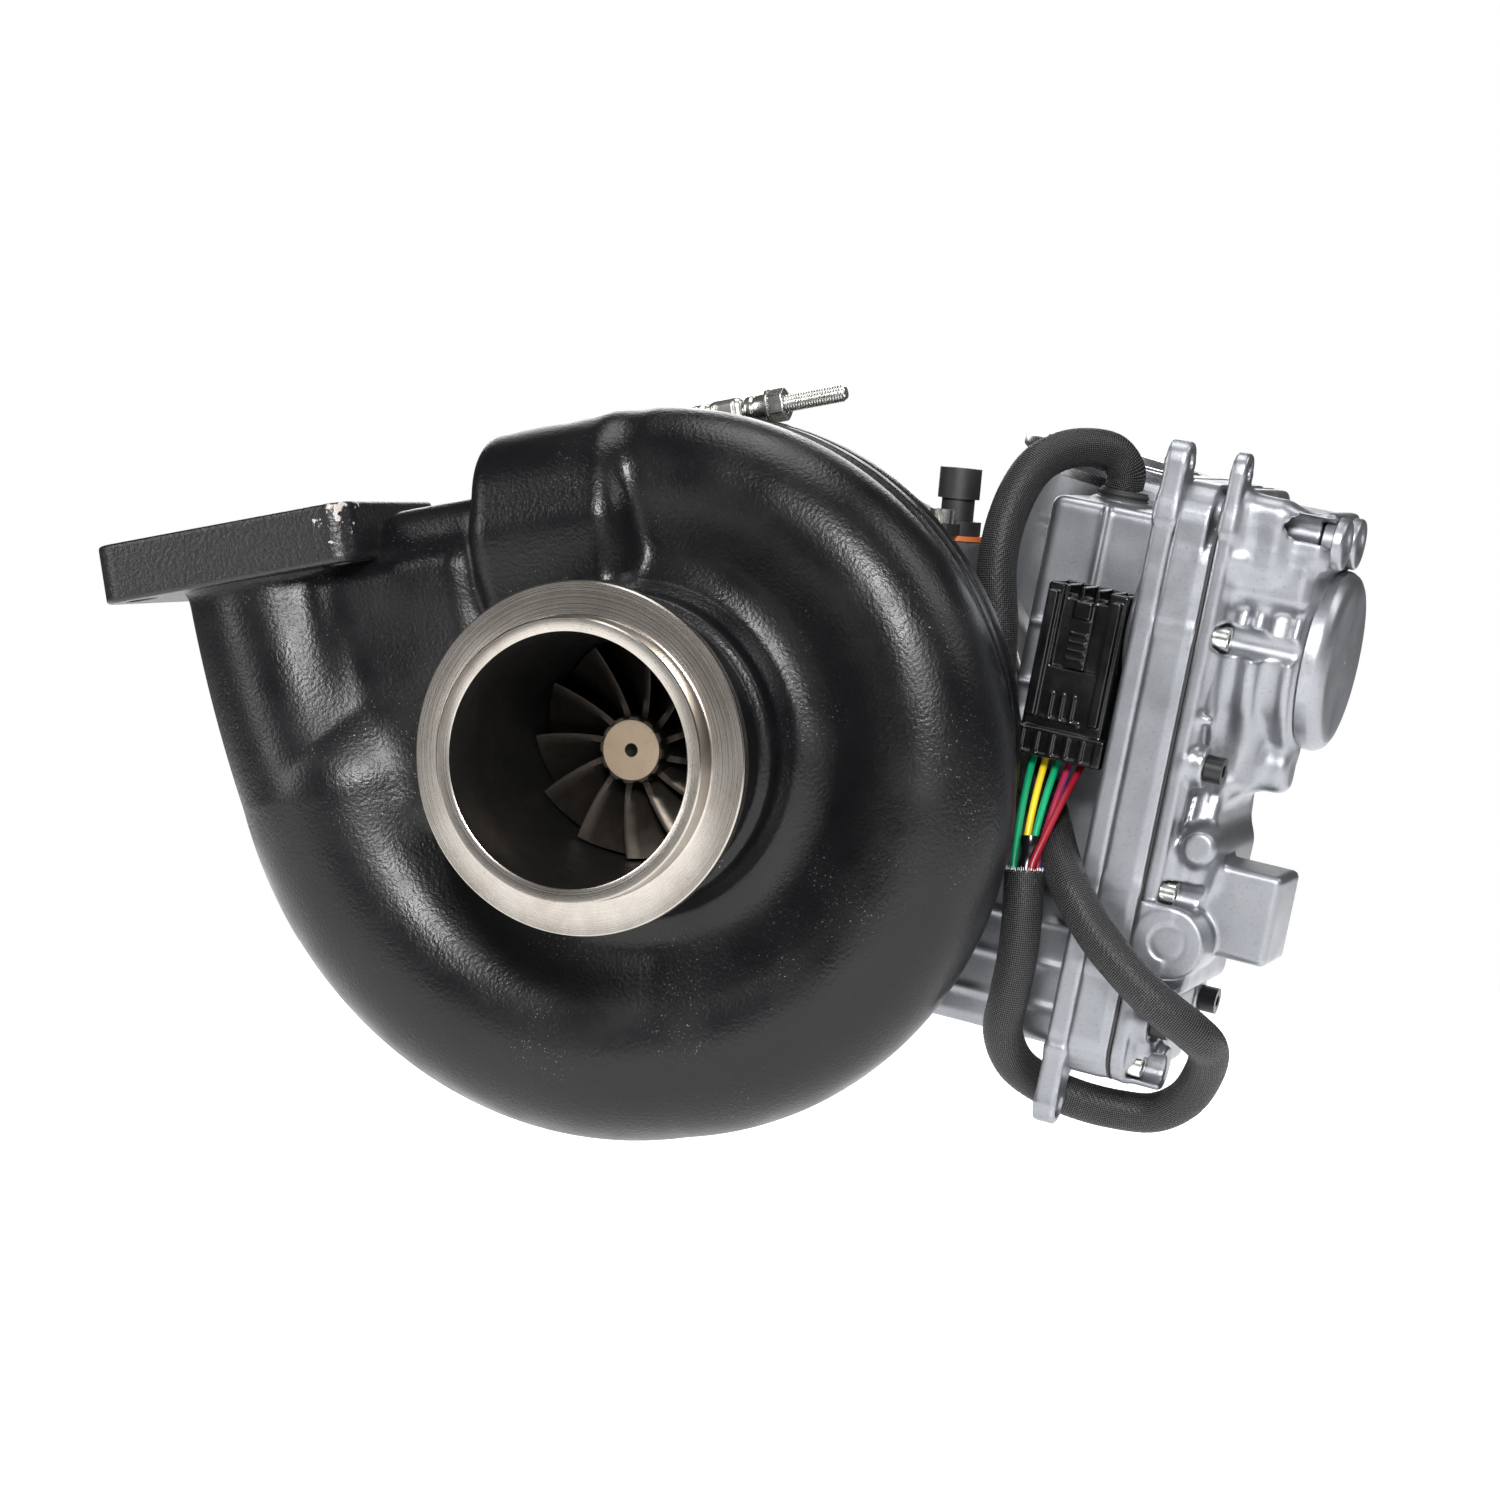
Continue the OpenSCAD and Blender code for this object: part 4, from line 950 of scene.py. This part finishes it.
def clamp_ring(name, node, r, y0, y1):
    """A V-section band pressed from strip, open for 8 degrees at the bolt."""
    gap, start, steps = math.radians(8), math.radians(-82), 220
    section = eased([(r, y0), (r + STRAP, y0), (r + 5, y0 + 3.5), (r + 5, y1 - 3.5), (r + STRAP, y1), (r, y1),
                     (r, y1 - 0.9), (r + 3.4, y1 - 4.4), (r + 3.4, y0 + 4.4), (r, y0 + 0.9)], 0.3)
    points = []
    for k in range(steps + 1):
        angle = start + (math.tau - gap) * k / steps
        points += [(radius * math.cos(angle), along, -radius * math.sin(angle)) for radius, along in section]
    n = len(section)
    caps = [tuple(reversed(range(n))), tuple(steps * n + j for j in range(n))]
    piece(name, points, ring_faces(steps + 1, n) + caps, "stainless", node, sharp=30)




def threaded(name, length, node, place):
    """A T-bolt lying along +X: a rolled head, a plain shank and a rolled thread."""
    profile = [(0.05, 0), (3.05, 0), (3.05, 14)]
    turn = 14.0
    while turn < length - 1.5:
        profile += [(3.1, turn + 0.25), (3.1, turn + 0.4), (2.62, turn + 0.75), (2.62, turn + 0.85)]
        turn += 1.0
    profile += [(2.5, length - 0.6), (2.1, length), (0.05, length)]
    lathe(name, profile, "zinc", node, axis="x", ease=0.05, steps=40, place=place)
    head = Casting((-6, -6, -7), (6, 6, 7), 0.35)
    head.add(rod("z", 4.4, -5, 5, -1, 0, 1.0), 0.5)
    head.skin(name + "_head", "zinc", node, place)


def hexagon(x, y, r):
    """Distance to a hexagon across the X axis, as used on nuts."""
    q = [abs(x * math.cos(a) + y * math.sin(a)) for a in (0, math.radians(60), math.radians(120))]
    return np.maximum(np.maximum(q[0], q[1]), q[2]) - r * math.cos(math.radians(30))


def make_nut(name, node, place):
    """The trunnion barrel, its washer and the locking nut."""
    profiles = {
        "barrel": [(3.25, 0), (4.9, 0), (5.2, 0.6), (5.2, 2.6), (4.8, 3), (4.8, 3.6), (5.2, 4), (5.2, 8),
                   (3.25, 8)],
        "washer": [(3.3, 8), (6.4, 8), (6.4, 9.1), (3.3, 9.1)],
    }
    for part, profile in profiles.items():
        lathe(f"{name}_{part}", profile, "zinc", node, axis="x", ease=0.2, steps=72, place=place)
    shape = Casting((8, -8, -8), (17, 8, 8), 0.3)
    shape.add((lambda x, y, z: np.maximum(hexagon(y, z, 6.15), abs(x - 12) - 2.9),
               (9, -7, -7), (15, 7, 7)), 0.3)
    shape.cut((lambda x, y, z: -(np.hypot(y, z) + abs(x - 12) * 0.8 - 8.1), (8, -8, -8), (17, 8, 8)), 0.3)
    shape.cut(rod("x", 3.25, 0, 20, 0, 0, 0.2), 0.3)
    shape.skin(name + "_hex", "zinc", node, place)


def strap_block(name, node, centre_y, centre_r, place, r_in):
    """The folded loop of strap that the T-bolt's nut pulls on."""
    shape = Casting((13, centre_y - 8, r_in - 2), (33, centre_y + 8, centre_r + 8), 0.45)
    shape.add(box((16, centre_y - 5, r_in - 2), (30, centre_y + 5, centre_r + 5.5), 3.2), 1)
    shape.cut(rod("x", 3.4, 0, 40, centre_y, centre_r, 0.2), 0.5)
    for x in (19.5, 26.5):
        shape.cut(box((x - 0.35, centre_y - 8, r_in + 3), (x + 0.35, centre_y - 4.4, centre_r + 8), 0.1), 0.3)
    shape.cut((lambda x, y, z: np.hypot(x, z) - r_in,
               (10, centre_y - 9, r_in - 6), (34, centre_y + 9, r_in + 1)), 0.2)
    shape.skin(name, "stainless", node, place)


def make_clamps():
    """The two clamps. The compressor's bolt is swung round the rotor from the turbine's."""
    swing = Matrix.Rotation(math.radians(-100), 4, "Y")
    for side, place, r, start, end, bolt_y, bolt_z, inner, length in (
            ("turbine", IDENTITY, 105.2, 125, 138, 131.5, 113.5, 108.9, 54),
            ("compressor", swing, 95.3, 198, 220.6, 209, 106.5, 99.3, 44)):
        band = f"{side}_clamp_band"
        clamp_ring(f"{side}_band_strip", band, r, start, end)
        strap_block(f"{side}_band_loop", band, bolt_y, bolt_z, place, inner)
        bolt, nut = (place @ Matrix.Translation((x * MM, bolt_y * MM, bolt_z * MM))
                     for x in (BOLT_START, NUT_START))
        threaded(f"{side}_t_bolt", length, f"{side}_clamp_bolt", bolt)
        make_nut(f"{side}_clamp", f"{side}_clamp_nut", nut)


make_clamps()


# ---------------------------------------------------------------- bearing housing
SENSOR = Matrix.Translation((88.5, 168, 59)) @ Matrix.Rotation(math.radians(15), 4, "Y")
SCREW_SPOTS = [(130, 116), (126.8, 74), (126.8, -16), (126.8, -46), (131, -78),
               (200, 116), (203.2, 74), (203.2, -16), (203.2, -46), (199, -78)]
SOCKET_SPOTS = [(129, 29), (129, -62), (201, 29), (201, -62)]
MOUNT_SPOTS = [(150, -74), (183, -74), (168, 12), (184, 12)]
COOLANT_PORTS = [(152, 40), (175, 14)]
SENSOR_SCREW = -18
OIL_Y = 168
DRAIN_Y = 163
CROSS_Y = 165.0
CROSS_W = -52.0
MOTOR_W = 71.25
IDLER_W = 27.0
PLUG_YS = (138, 162)
PLUG_W = 113


def turned_about(matrix, shape):
    """The same shape in a frame turned about the rotor axis, with its own window."""
    distance, low, high = shape
    back = matrix.inverted()
    corners = [matrix @ Vector((x, y, z)) for x in (low[0], high[0]) for y in (low[1], high[1])
               for z in (low[2], high[2])]
    window = [[f(c[i] for c in corners) for i in range(3)] for f in (min, max)]

    def moved(x, y, z):
        p = [back[i][0] * x + back[i][1] * y + back[i][2] * z + back[i][3] for i in range(3)]
        return distance(*p)
    return moved, window[0], window[1]


def make_bearing_housing():
    shape = Casting((-96, 102, -102), (118, 208, 102), 1.2)
    add, cut = shape.add, shape.cut
    add(turned([(0, 104), (46.9, 104), (46.9, 124.6), (80.3, 124.6), (80.3, 104), (85.6, 104), (85.6, 127.6),
                (104.6, 127.6), (104.6, 131.5), (98, 137.4), (84, 137.4), (84, 192), (95, 199), (95, 206),
                (0, 206)]), 2)
    for solid, fillet in ((box((62, 144, -83), (85.8, 192.6, 23), 5), 8),
                          (box((-70, 143, -84), (70, 187, -20), 9), 9),
                          (rod("x", 15, -90, -60, CROSS_Y, CROSS_W, 2), 5)):
        add(turned_about(ACT, solid), fillet)
    for y, z in COOLANT_PORTS:
        add(rod("x", 12, -93, -62, y, z, 1.5), 6)
    add(turned_about(SENSOR, rod("z", 11, -40, -2, 0, 0, 1)), 6)
    add(turned_about(SENSOR, rod("z", 6, -40, -2, 0, SENSOR_SCREW, 1)), 5)
    add(rod("z", 17, 60, 94, 0, OIL_Y, 1.5), 6)
    add(rod("z", 23, -96, -56, 0, DRAIN_Y, 2), 6)
    for y in (147, 160, 173, 186):
        for sign in (-1, 1):
            rib = box((60, y - 2, -14 + 14 * sign), (87.5, y + 2, -4 + 14 * sign), 1.5)
            add(turned_about(Matrix.Rotation(math.radians(118 + 9 * sign), 4, "Y"), rib), 4)
    cut(turned([(36, 137.4), (77, 137.4), (77, 190), (36, 190)]), 2)
    cut(turned_about(ACT, box((-59, 148, -68), (62, 182, -30), 3)), 2)
    for y, z in COOLANT_PORTS:
        cut(rod("x", 7, -98, -81, y, z, 0.2), 0.8)
    cut(turned([(0, 98), (13.3, 98), (13.3, 118), (14, 120), (14, 136), (11.2, 137), (11.2, 191), (24, 192),
                (24, 203), (34, 203), (34, 212), (0, 212)]), 0.4)
    for side in (-60, 60):
        cut(turned_about(ACT, rod("y", 6.6, 116, 142, side, 0, 0.2)), 0.4)
    for start, end in ((60, 92), (-84, -50)):
        cut(turned_about(ACT, rod("x", 10.1, start, end, CROSS_Y, CROSS_W, 0.2)), 0.4)
    cut(rod("z", 4, 79, 90, 0, OIL_Y, 0.2), 0.4)
    cut(rod("z", 6, 84, 99, 0, OIL_Y, 0.2), 0.8)
    cut(rod("z", 9, -102, -86, 0, DRAIN_Y, 0.2), 0.8)
    for x in (-17, 17):
        cut(rod("z", 3.4, -102, -86, x, DRAIN_Y, 0.2), 0.6)
    for y, w in MOUNT_SPOTS:
        cut(turned_about(ACT, rod("x", 3.4, 66, 92, y, w, 0.2)), 0.4)
    cut(turned_about(SENSOR, rod("z", 7.05, -30, 6, 0, 0, 0.2)), 0.4)
    cut(turned_about(SENSOR, rod("z", 2.95, -20, 2, 0, SENSOR_SCREW, 0.2)), 0.4)
    shape.skin("bearing_casting", "dark_cast", "bearing_housing")


# ---------------------------------------------------------------- compressor cover
OUT_TILT = math.radians(25.7)
OUT_OFF = 86.0
OUT_LEN = 131.0
OUT_TUBE = 36.0
SCROLL_FRONT = 222.0
TONGUE = 46.0
OUT_CENTRE = (OUT_OFF * math.cos(OUT_TILT), SCROLL_FRONT + OUT_TUBE, -OUT_OFF * math.sin(OUT_TILT))
OUT_TURN = Matrix.Translation(OUT_CENTRE) @ Matrix.Rotation(OUT_TILT, 4, "Y")


def scroll(inset=0):
    def distance(x, y, z):
        x2, z2 = x[:, 0, :], z[:, 0, :]
        t = np.degrees(np.arctan2(z2, x2)) % 360
        last = 360 - math.degrees(OUT_TILT)
        t = np.clip(np.where(t < 15, t + 360, t), TONGUE, last)
        full = 15 + (OUT_TUBE - 15) * (t - TONGUE) / (last - TONGUE)
        centre = 73 + (OUT_OFF - 73) * (full - 15) / (OUT_TUBE - 15)
        along = SCROLL_FRONT + full
        across = (x2 - centre * np.cos(np.radians(t))) ** 2 + (z2 - centre * np.sin(np.radians(t))) ** 2
        return np.sqrt(across[:, None, :] + (y - along[:, None, :]) ** 2) - (full - inset)[:, None, :]
    return distance, (-115, 218, -125), (125, 298, 110)


def make_compressor_cover():
    shape = Casting((-118, 212, -128), (176, 306, 128), 1.2)
    add, cut = shape.add, shape.cut
    add(scroll(), 1)
    add(turned_about(OUT_TURN, rod("z", OUT_TUBE, 0, OUT_LEN - 30, 0, 0, 2)), 2)
    add(turned_about(OUT_TURN, rod("z", 35, OUT_LEN - 34, OUT_LEN - 5, 0, 0, 0.5)), 3)
    add(turned([(0, 214.2), (92, 214.2), (97, 216), (97, 219), (80, 226), (76, 243), (64, 262), (50, 271),
                (50, 292), (0, 292)]), 9)
    cut(scroll(5), 0.8)
    cut(turned_about(OUT_TURN, rod("z", 31, 0, OUT_LEN + 5, 0, 0, 0.3)), 0.8)
    cut(turned([(0, 212), (72, 212), (72, 234), (65, 234), (65, 220.6), (49, 220.6), (44.5, 225.2),
                (38.5, 236.2), (37, 246), (37, 259), (40, 270), (43, 280), (45, 296), (0, 296)]), 0.5)
    shape.skin("compressor_casting", "cast_aluminium", "compressor_cover")
    spigot = [(43.6, 281), (50, 281), (50, 303), (49, 304), (44, 304), (43.6, 290)]
    contour = [(36.9, 243), (38.6, 243), (38.2, 259), (41, 270), (44.4, 281), (44, 282), (40, 270),
               (36.9, 259)]
    flange = [(31.6, -12), (35.2, -12), (36.4, -8), (40, -5.4), (40, -1), (38.4, 0), (31.6, 0)]
    flange = [(radius, OUT_LEN + along) for radius, along in flange]
    face = Matrix.Translation(OUT_TURN.to_translation() * MM) @ Matrix.Rotation(OUT_TILT, 4, "Y")
    for name, profile, ease, axis, place in (("inlet_spigot", spigot, 0.4, "y", IDENTITY),
                                             ("inlet_contour", contour, 0.2, "y", IDENTITY),
                                             ("outlet_v_flange", flange, 0.35, "z", face)):
        lathe(name, profile, "machined_aluminium", "compressor_cover", axis=axis, ease=ease, steps=160,
              place=place)


make_bearing_housing()
make_compressor_cover()


# ---------------------------------------------------------------- actuator
PLATE = rounded((121, -86), (209, 125), 14)
GEAR_ROOM = rounded((126.5, -75), (203.5, 114), 10)


def lug(shape, start, end, w, towards):
    """A mounting lug that stands off the flange's edge, with its hole along u."""
    shape.add(box((start, 121, min(w, w - 22 * towards)), (end, 134, max(w, w - 22 * towards)), 1.0), 3)
    shape.add(rod("x", 6.5, start, end, 127.5, w, 1.0), 1)
    shape.cut(rod("x", 3, start - 3, end + 3, 127.5, w, 0.2), 0.6)


def gear_space(shape, start, end):
    shape.cut(plate(GEAR_ROOM, start, end, 0.4), 0.5)
    for y, w in SCREW_SPOTS:
        shape.add(rod("x", 5.4, max(start, 143.6), min(end, 171), y, w, 0.3), 1)


def make_actuator_housing():
    shape = Casting((84, 119, -108), (154, 211, 140), 0.9)
    cut = shape.cut
    shape.add(plate(PLATE, 143.5, 151.5, 0.9), 1)
    lug(shape, 143.5, 151.5, 131, 1)
    lug(shape, 143.5, 151.5, -99, -1)
    shape.boxes(((96, 161, 20), (145, 208, 109), 4, 4),
                ((86, 142, -82), (145, 206, -25), 5, 4),
                ((86, 160, -40), (145, 206, 30), 5, 5))
    shape.add(rod("x", 25, 140.6, 145, CROSS_Y - 14, MOTOR_W, 1.5), 2)
    shape.boxes(((97, 160.2, 62), (144, 163, 64), 0.8, 1.5),
                ((97, 160.2, 40), (144, 163, 42), 0.8, 1.5),
                ((116, 160.0, 30), (118, 208.5, 108.6), 0.8, 1),
                *(((88, 141.2, w), (144, 146, w + 2.2), 0.8, 1.5) for w in (-70, -55, -40)))
    shape.add(rod("z", 11, 104, 110.6, *GLAND, 0.8), 2)
    gear_space(shape, 146, 154)
    cut(box((100, 165, 30), (141, 204, 104), 2), 1)
    cut(box((104, 164, -30), (141, 202, 22), 2), 1)
    cut(rod("x", 14, 88, 160, CROSS_Y, CROSS_W, 0.3), 0.6)
    cut(rod("x", 8.6, 80, 100, CROSS_Y, CROSS_W, 0.3), 0.6)
    cut(rod("x", 4.02, 144.6, 150, CROSS_Y, IDLER_W, 0.1), 0.3)
    for y, w in MOUNT_SPOTS:
        cut(rod("x", 3.4, 80, 150, y, w, 0.2), 0.4)
        cut(rod("x", 6.4, 96, 150, y, w, 0.2), 0.4)
    cut(rod("z", 7.3, 98, 114, *GLAND, 0.2), 0.4)
    for y, w in SCREW_SPOTS:
        cut(rod("x", 2.2, 145, 160, y, w, 0.2), 0.3)
    shape.skin("actuator_casting", "die_cast", "actuator_housing", ACT)


def make_gearbox_plate():
    shape = Casting((149, 119, -88), (168.5, 211, 128), 0.8)
    shape.add(plate(rounded((121, -86), (209, 112), 14), 151.6, 166, 0.8), 0.5)
    shape.add(plate(PLATE, 151.6, 163.2, 0.8), 1.5)
    shape.cut(plate(GEAR_ROOM, 149, 170, 0.2), 0.5)
    for y, w in SCREW_SPOTS:
        shape.add(rod("x", 5.6, 151.6, 165.9, y, w, 0.3), 2)
        shape.cut(rod("x", 2.6, 145, 170, y, w, 0.2), 0.3)
    shape.skin("gearbox_casting", "die_cast", "gearbox_plate", ACT)


def make_gear_cover():
    shape = Casting((164.5, 112, -90), (213, 213, 142), 0.8)
    add, cut, boxes = shape.add, shape.cut, shape.boxes
    add(plate(PLATE, 166.8, 172, 0.9), 0.5)
    lug(shape, 166.8, 172, 131, 1)
    add(plate(rounded((123.5, -83), (206.5, 122), 12), 169, 174, 1.4), 2.5)
    cut(plate(rounded((130, -77), (200, 116), 9), 172.4, 176, 0.8), 1.5)
    for radius, start, end, r, fillet in ((41, 168, 175, 1.6, 4), (36.5, 172, 184, 1.6, 6),
                                          (39, 183, 188, 2.2, 3), (34.5, 186, 197, 1.6, 5),
                                          (35.6, 196.4, 199.8, 1.4, 2), (33, 196, 201.4, 0.8, 1.5)):
        add(rod("x", radius, start, end, CROSS_Y, MOTOR_W, r), fillet)
    boxes(((170, 126, 88), (201.2, 176, 105), 4, 5),
          ((170, 126, 103.8), (204, 176, 122), 4, 5),
          ((170, 124, 96), (190, 140, 124), 5, 5),
          ((199, 129, 103), (204.2, 171, 123), 1.6, 2))
    add(rod("x", 7, 170, 201, CROSS_Y - 10, 32, 1.2), 4)
    boxes(((171, 149, 24), (200.6, 161, 44), 3, 6),
          ((170, 140, 20), (190, 186, 50), 5, 7))
    add(rod("x", 30, 170, 184, CROSS_Y, 4, 3), 7)
    boxes(((170, 130, -52), (186, 196, 4), 5, 7),
          ((184, 134, -35), (211, 164, -3), 2.4, 2))
    add(rod("y", 12.6, 116.2, 146, 179.8, -32, 0.7), 1.5)
    add(box((167.4, 116.2, -44.6), (179.8, 134, -19.4), 0.7), 1)
    add(rod("x", 8, 170, 184, 136, -78, 1.2), 2.5)
    add(rod("x", 5.4, 168, 179, 149, -76, 1.0), 2)
    add(box((170, 126, -82), (180, 180, -52), 4), 3)
    for y, w in SOCKET_SPOTS:
        add(rod("x", 7.6, 170, 178, y, w, 0.6), 2)
    add(rod("y", 6.2, 119, 136, 183, 2.4, 2.5), 5)
    boxes(((174, 124, -14), (186, 140, 2), 5, 6),
          *(((171, 123.2, w), (177.5, 127.2, w + 3), 1.2, 3) for w in (30, 44, 100)))
    cut(rod("x", 30.5, 167, 206, CROSS_Y, MOTOR_W, 0.3), 0.6)
    cut(plate(GEAR_ROOM, 160, 168.6, 0.3), 0.5)
    cut(rod("x", 4.02, 160, 170, CROSS_Y, IDLER_W, 0.1), 0.3)
    cut(box((172, 137, 100), (200, 172, 118), 1.5), 0.8)
    for y, w in SCREW_SPOTS:
        cut(rod("x", 5.2, 172, 214, y, w, 0.3), 0.8)
        cut(rod("x", 2.6, 145, 200, y, w, 0.2), 0.3)
    for y, w in SOCKET_SPOTS:
        cut(rod("x", 3.1, 168.6, 190, y, w, 0.2), 0.3)
        cut(rod("x", 6, 178, 215, y, w, 0.3), 0.8)
    for y in PLUG_YS:
        cut(rod("x", 7.5, 199, 208, y, PLUG_W, 0.2), 0.5)
    cut(rod("y", 6.4, 114, 116.6, 179.5, -31.5, 0.2), 0.3)
    add(rod("y", 5.9, 116.2, 117.4, 179.5, -31.5, 0.2), 0.2)
    shape.skin("cover_casting", "die_cast", "gear_cover", ACT)


def turned_about_u(name, node, profile, y, w, ease, steps):
    """A die cast piece turned about a line along u."""
    lathe(name, profile, "die_cast", node, axis="x", centre=(0, y, w), ease=ease, steps=steps, place=ACT)


def make_motor_cap():
    """The round cap. Its flat has rings of its own, so that its shading stays flat."""
    top = 210.4
    shell = [(0.05, 208.6), (28.4, 208.6), (28.4, 203), (29.4, 201.4), (32, 201.4), (32, 206.2),
             (30.6, 208.8), (28.2, 210.2), *((r, top) for r in (25, 24, 18, 12, 6, 2, 0.05))]
    boss = [(3.6, 198), (10, 198), (10, 208.7), (3.6, 208.7)]
    turned_about_u("motor_cap_shell", "motor_cap", shell, CROSS_Y, MOTOR_W, 0.5, 160)
    turned_about_u("motor_cap_boss", "motor_cap", boss, CROSS_Y, MOTOR_W, 0.4, 96)


def make_round_plugs():
    profile = [(0.05, 200.2), (7.4, 200.2), (7.4, 204.1), (9, 204.1), (9, 207.2), (8.2, 208), (3.4, 208),
               (3, 207.4), (0.05, 207.4)]
    for i, y in enumerate(PLUG_YS):
        turned_about_u(f"round_plug_{i + 1}", "round_plugs", profile, y, PLUG_W, 0.3, 96)


make_actuator_housing()
make_gearbox_plate()
make_gear_cover()
make_motor_cap()
make_round_plugs()


# ---------------------------------------------------------------- carried-over CAD nodes
FINISHES = {
    "ground_steel": "rotor_shaft thrust_collar oil_slinger cross_shaft yoke_pins motor_bearings "
                    "idler_spindle",
    "dark_steel": "bearing_snap_rings piston_rings compressor_nut yoke sector_gear motor_rotor motor_pinion",
    "stainless": "nozzle_ring push_rods shroud_plate heat_shield",
    "bronze": "rod_bushes journal_bearings thrust_bearing cross_shaft_bushes",
    "machined_aluminium": "seal_plate motor_end_plate",
    "zinc": "sensor_screw flange_screws",
    "black_steel": "socket_screws mounting_screws",
    "matt_plastic": "speed_sensor",
    "orange_rubber": "sensor_seal",
    "copper": "motor_stator",
    "brass": "idler_gear",
    "board_green": "circuit_board",
    "black_rubber": "cover_gasket",
}


def finish_nodes():
    for finish, names in FINISHES.items():
        for name in names.split():
            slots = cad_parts[name].data.materials
            if not slots:
                slots.append(None)
            for k in range(len(slots)):
                slots[k] = MATERIALS[finish]


finish_nodes()


# ---------------------------------------------------------------- stage
def area_light(name, place, aim, size, power):
    light = bpy.data.lights.new(name, "AREA")
    light.shape = "RECTANGLE"
    light.size, light.size_y = size
    light.energy = power
    obj = bpy.data.objects.new(name, light)
    obj.location = place
    obj.rotation_euler = (Vector(aim) - Vector(place)).to_track_quat("-Z", "Y").to_euler()
    bpy.context.collection.objects.link(obj)


def make_stage():
    low = min(Vector(corner).dot(PHOTO_UP) for corner in itertools.product(*zip(*CAD_BOX)))
    mesh = bpy.data.meshes.new("floor")
    mesh.from_pydata([(-1, -1, 0), (1, -1, 0), (1, 1, 0), (-1, 1, 0)], [], [(0, 1, 2, 3)])
    floor = bpy.data.objects.new("floor", mesh)
    turn = PHOTO_UP.to_track_quat("Z", "Y").to_matrix().to_4x4()
    floor.matrix_world = Matrix.Translation(PHOTO_UP * (low - 0.004)) @ turn
    bpy.context.collection.objects.link(floor)
    white = Shader("floor_white", (0.92, 0.92, 0.92), 0.8)
    white.stain(2, 2, 0.3, 0.7, 0.2, (0.94, 0.94, 0.94))
    white.done(Emission_Color=(1, 1, 1, 1), Emission_Strength=0.76)
    mesh.materials.append(white.material)
    world = bpy.data.worlds.new("studio")
    bpy.context.scene.world = world
    world.use_nodes = True
    nodes, links = world.node_tree.nodes, world.node_tree.links
    path = nodes.new("ShaderNodeLightPath")
    level = nodes.new("ShaderNodeMapRange")
    level.inputs["To Min"].default_value = 0.08
    level.inputs["To Max"].default_value = 1.0
    links.new(path.outputs["Is Camera Ray"], level.inputs["Value"])
    nodes["Background"].inputs[0].default_value = (1, 1, 1, 1)
    links.new(level.outputs[0], nodes["Background"].inputs[1])
    area_light("front", (0.62, -1.35, 0.62), (0, 0.08, 0), (0.34, 0.34), 34)
    area_light("left", (-0.95, -0.75, 0.6), (0, 0.1, 0), (0.35, 0.9), 8)
    area_light("top", (0.25, 0.15, 1.1), (0.05, 0.12, 0), (0.7, 0.5), 6)
    area_light("right", (1.1, 0.1, 0.7), (0.15, 0.15, 0), (0.4, 0.7), 5)
    area_light("back", (-0.3, 1.2, 0.6), (0, 0.15, 0), (0.9, 0.5), 7)
    bpy.context.scene.view_settings.view_transform = "Standard"


make_stage()
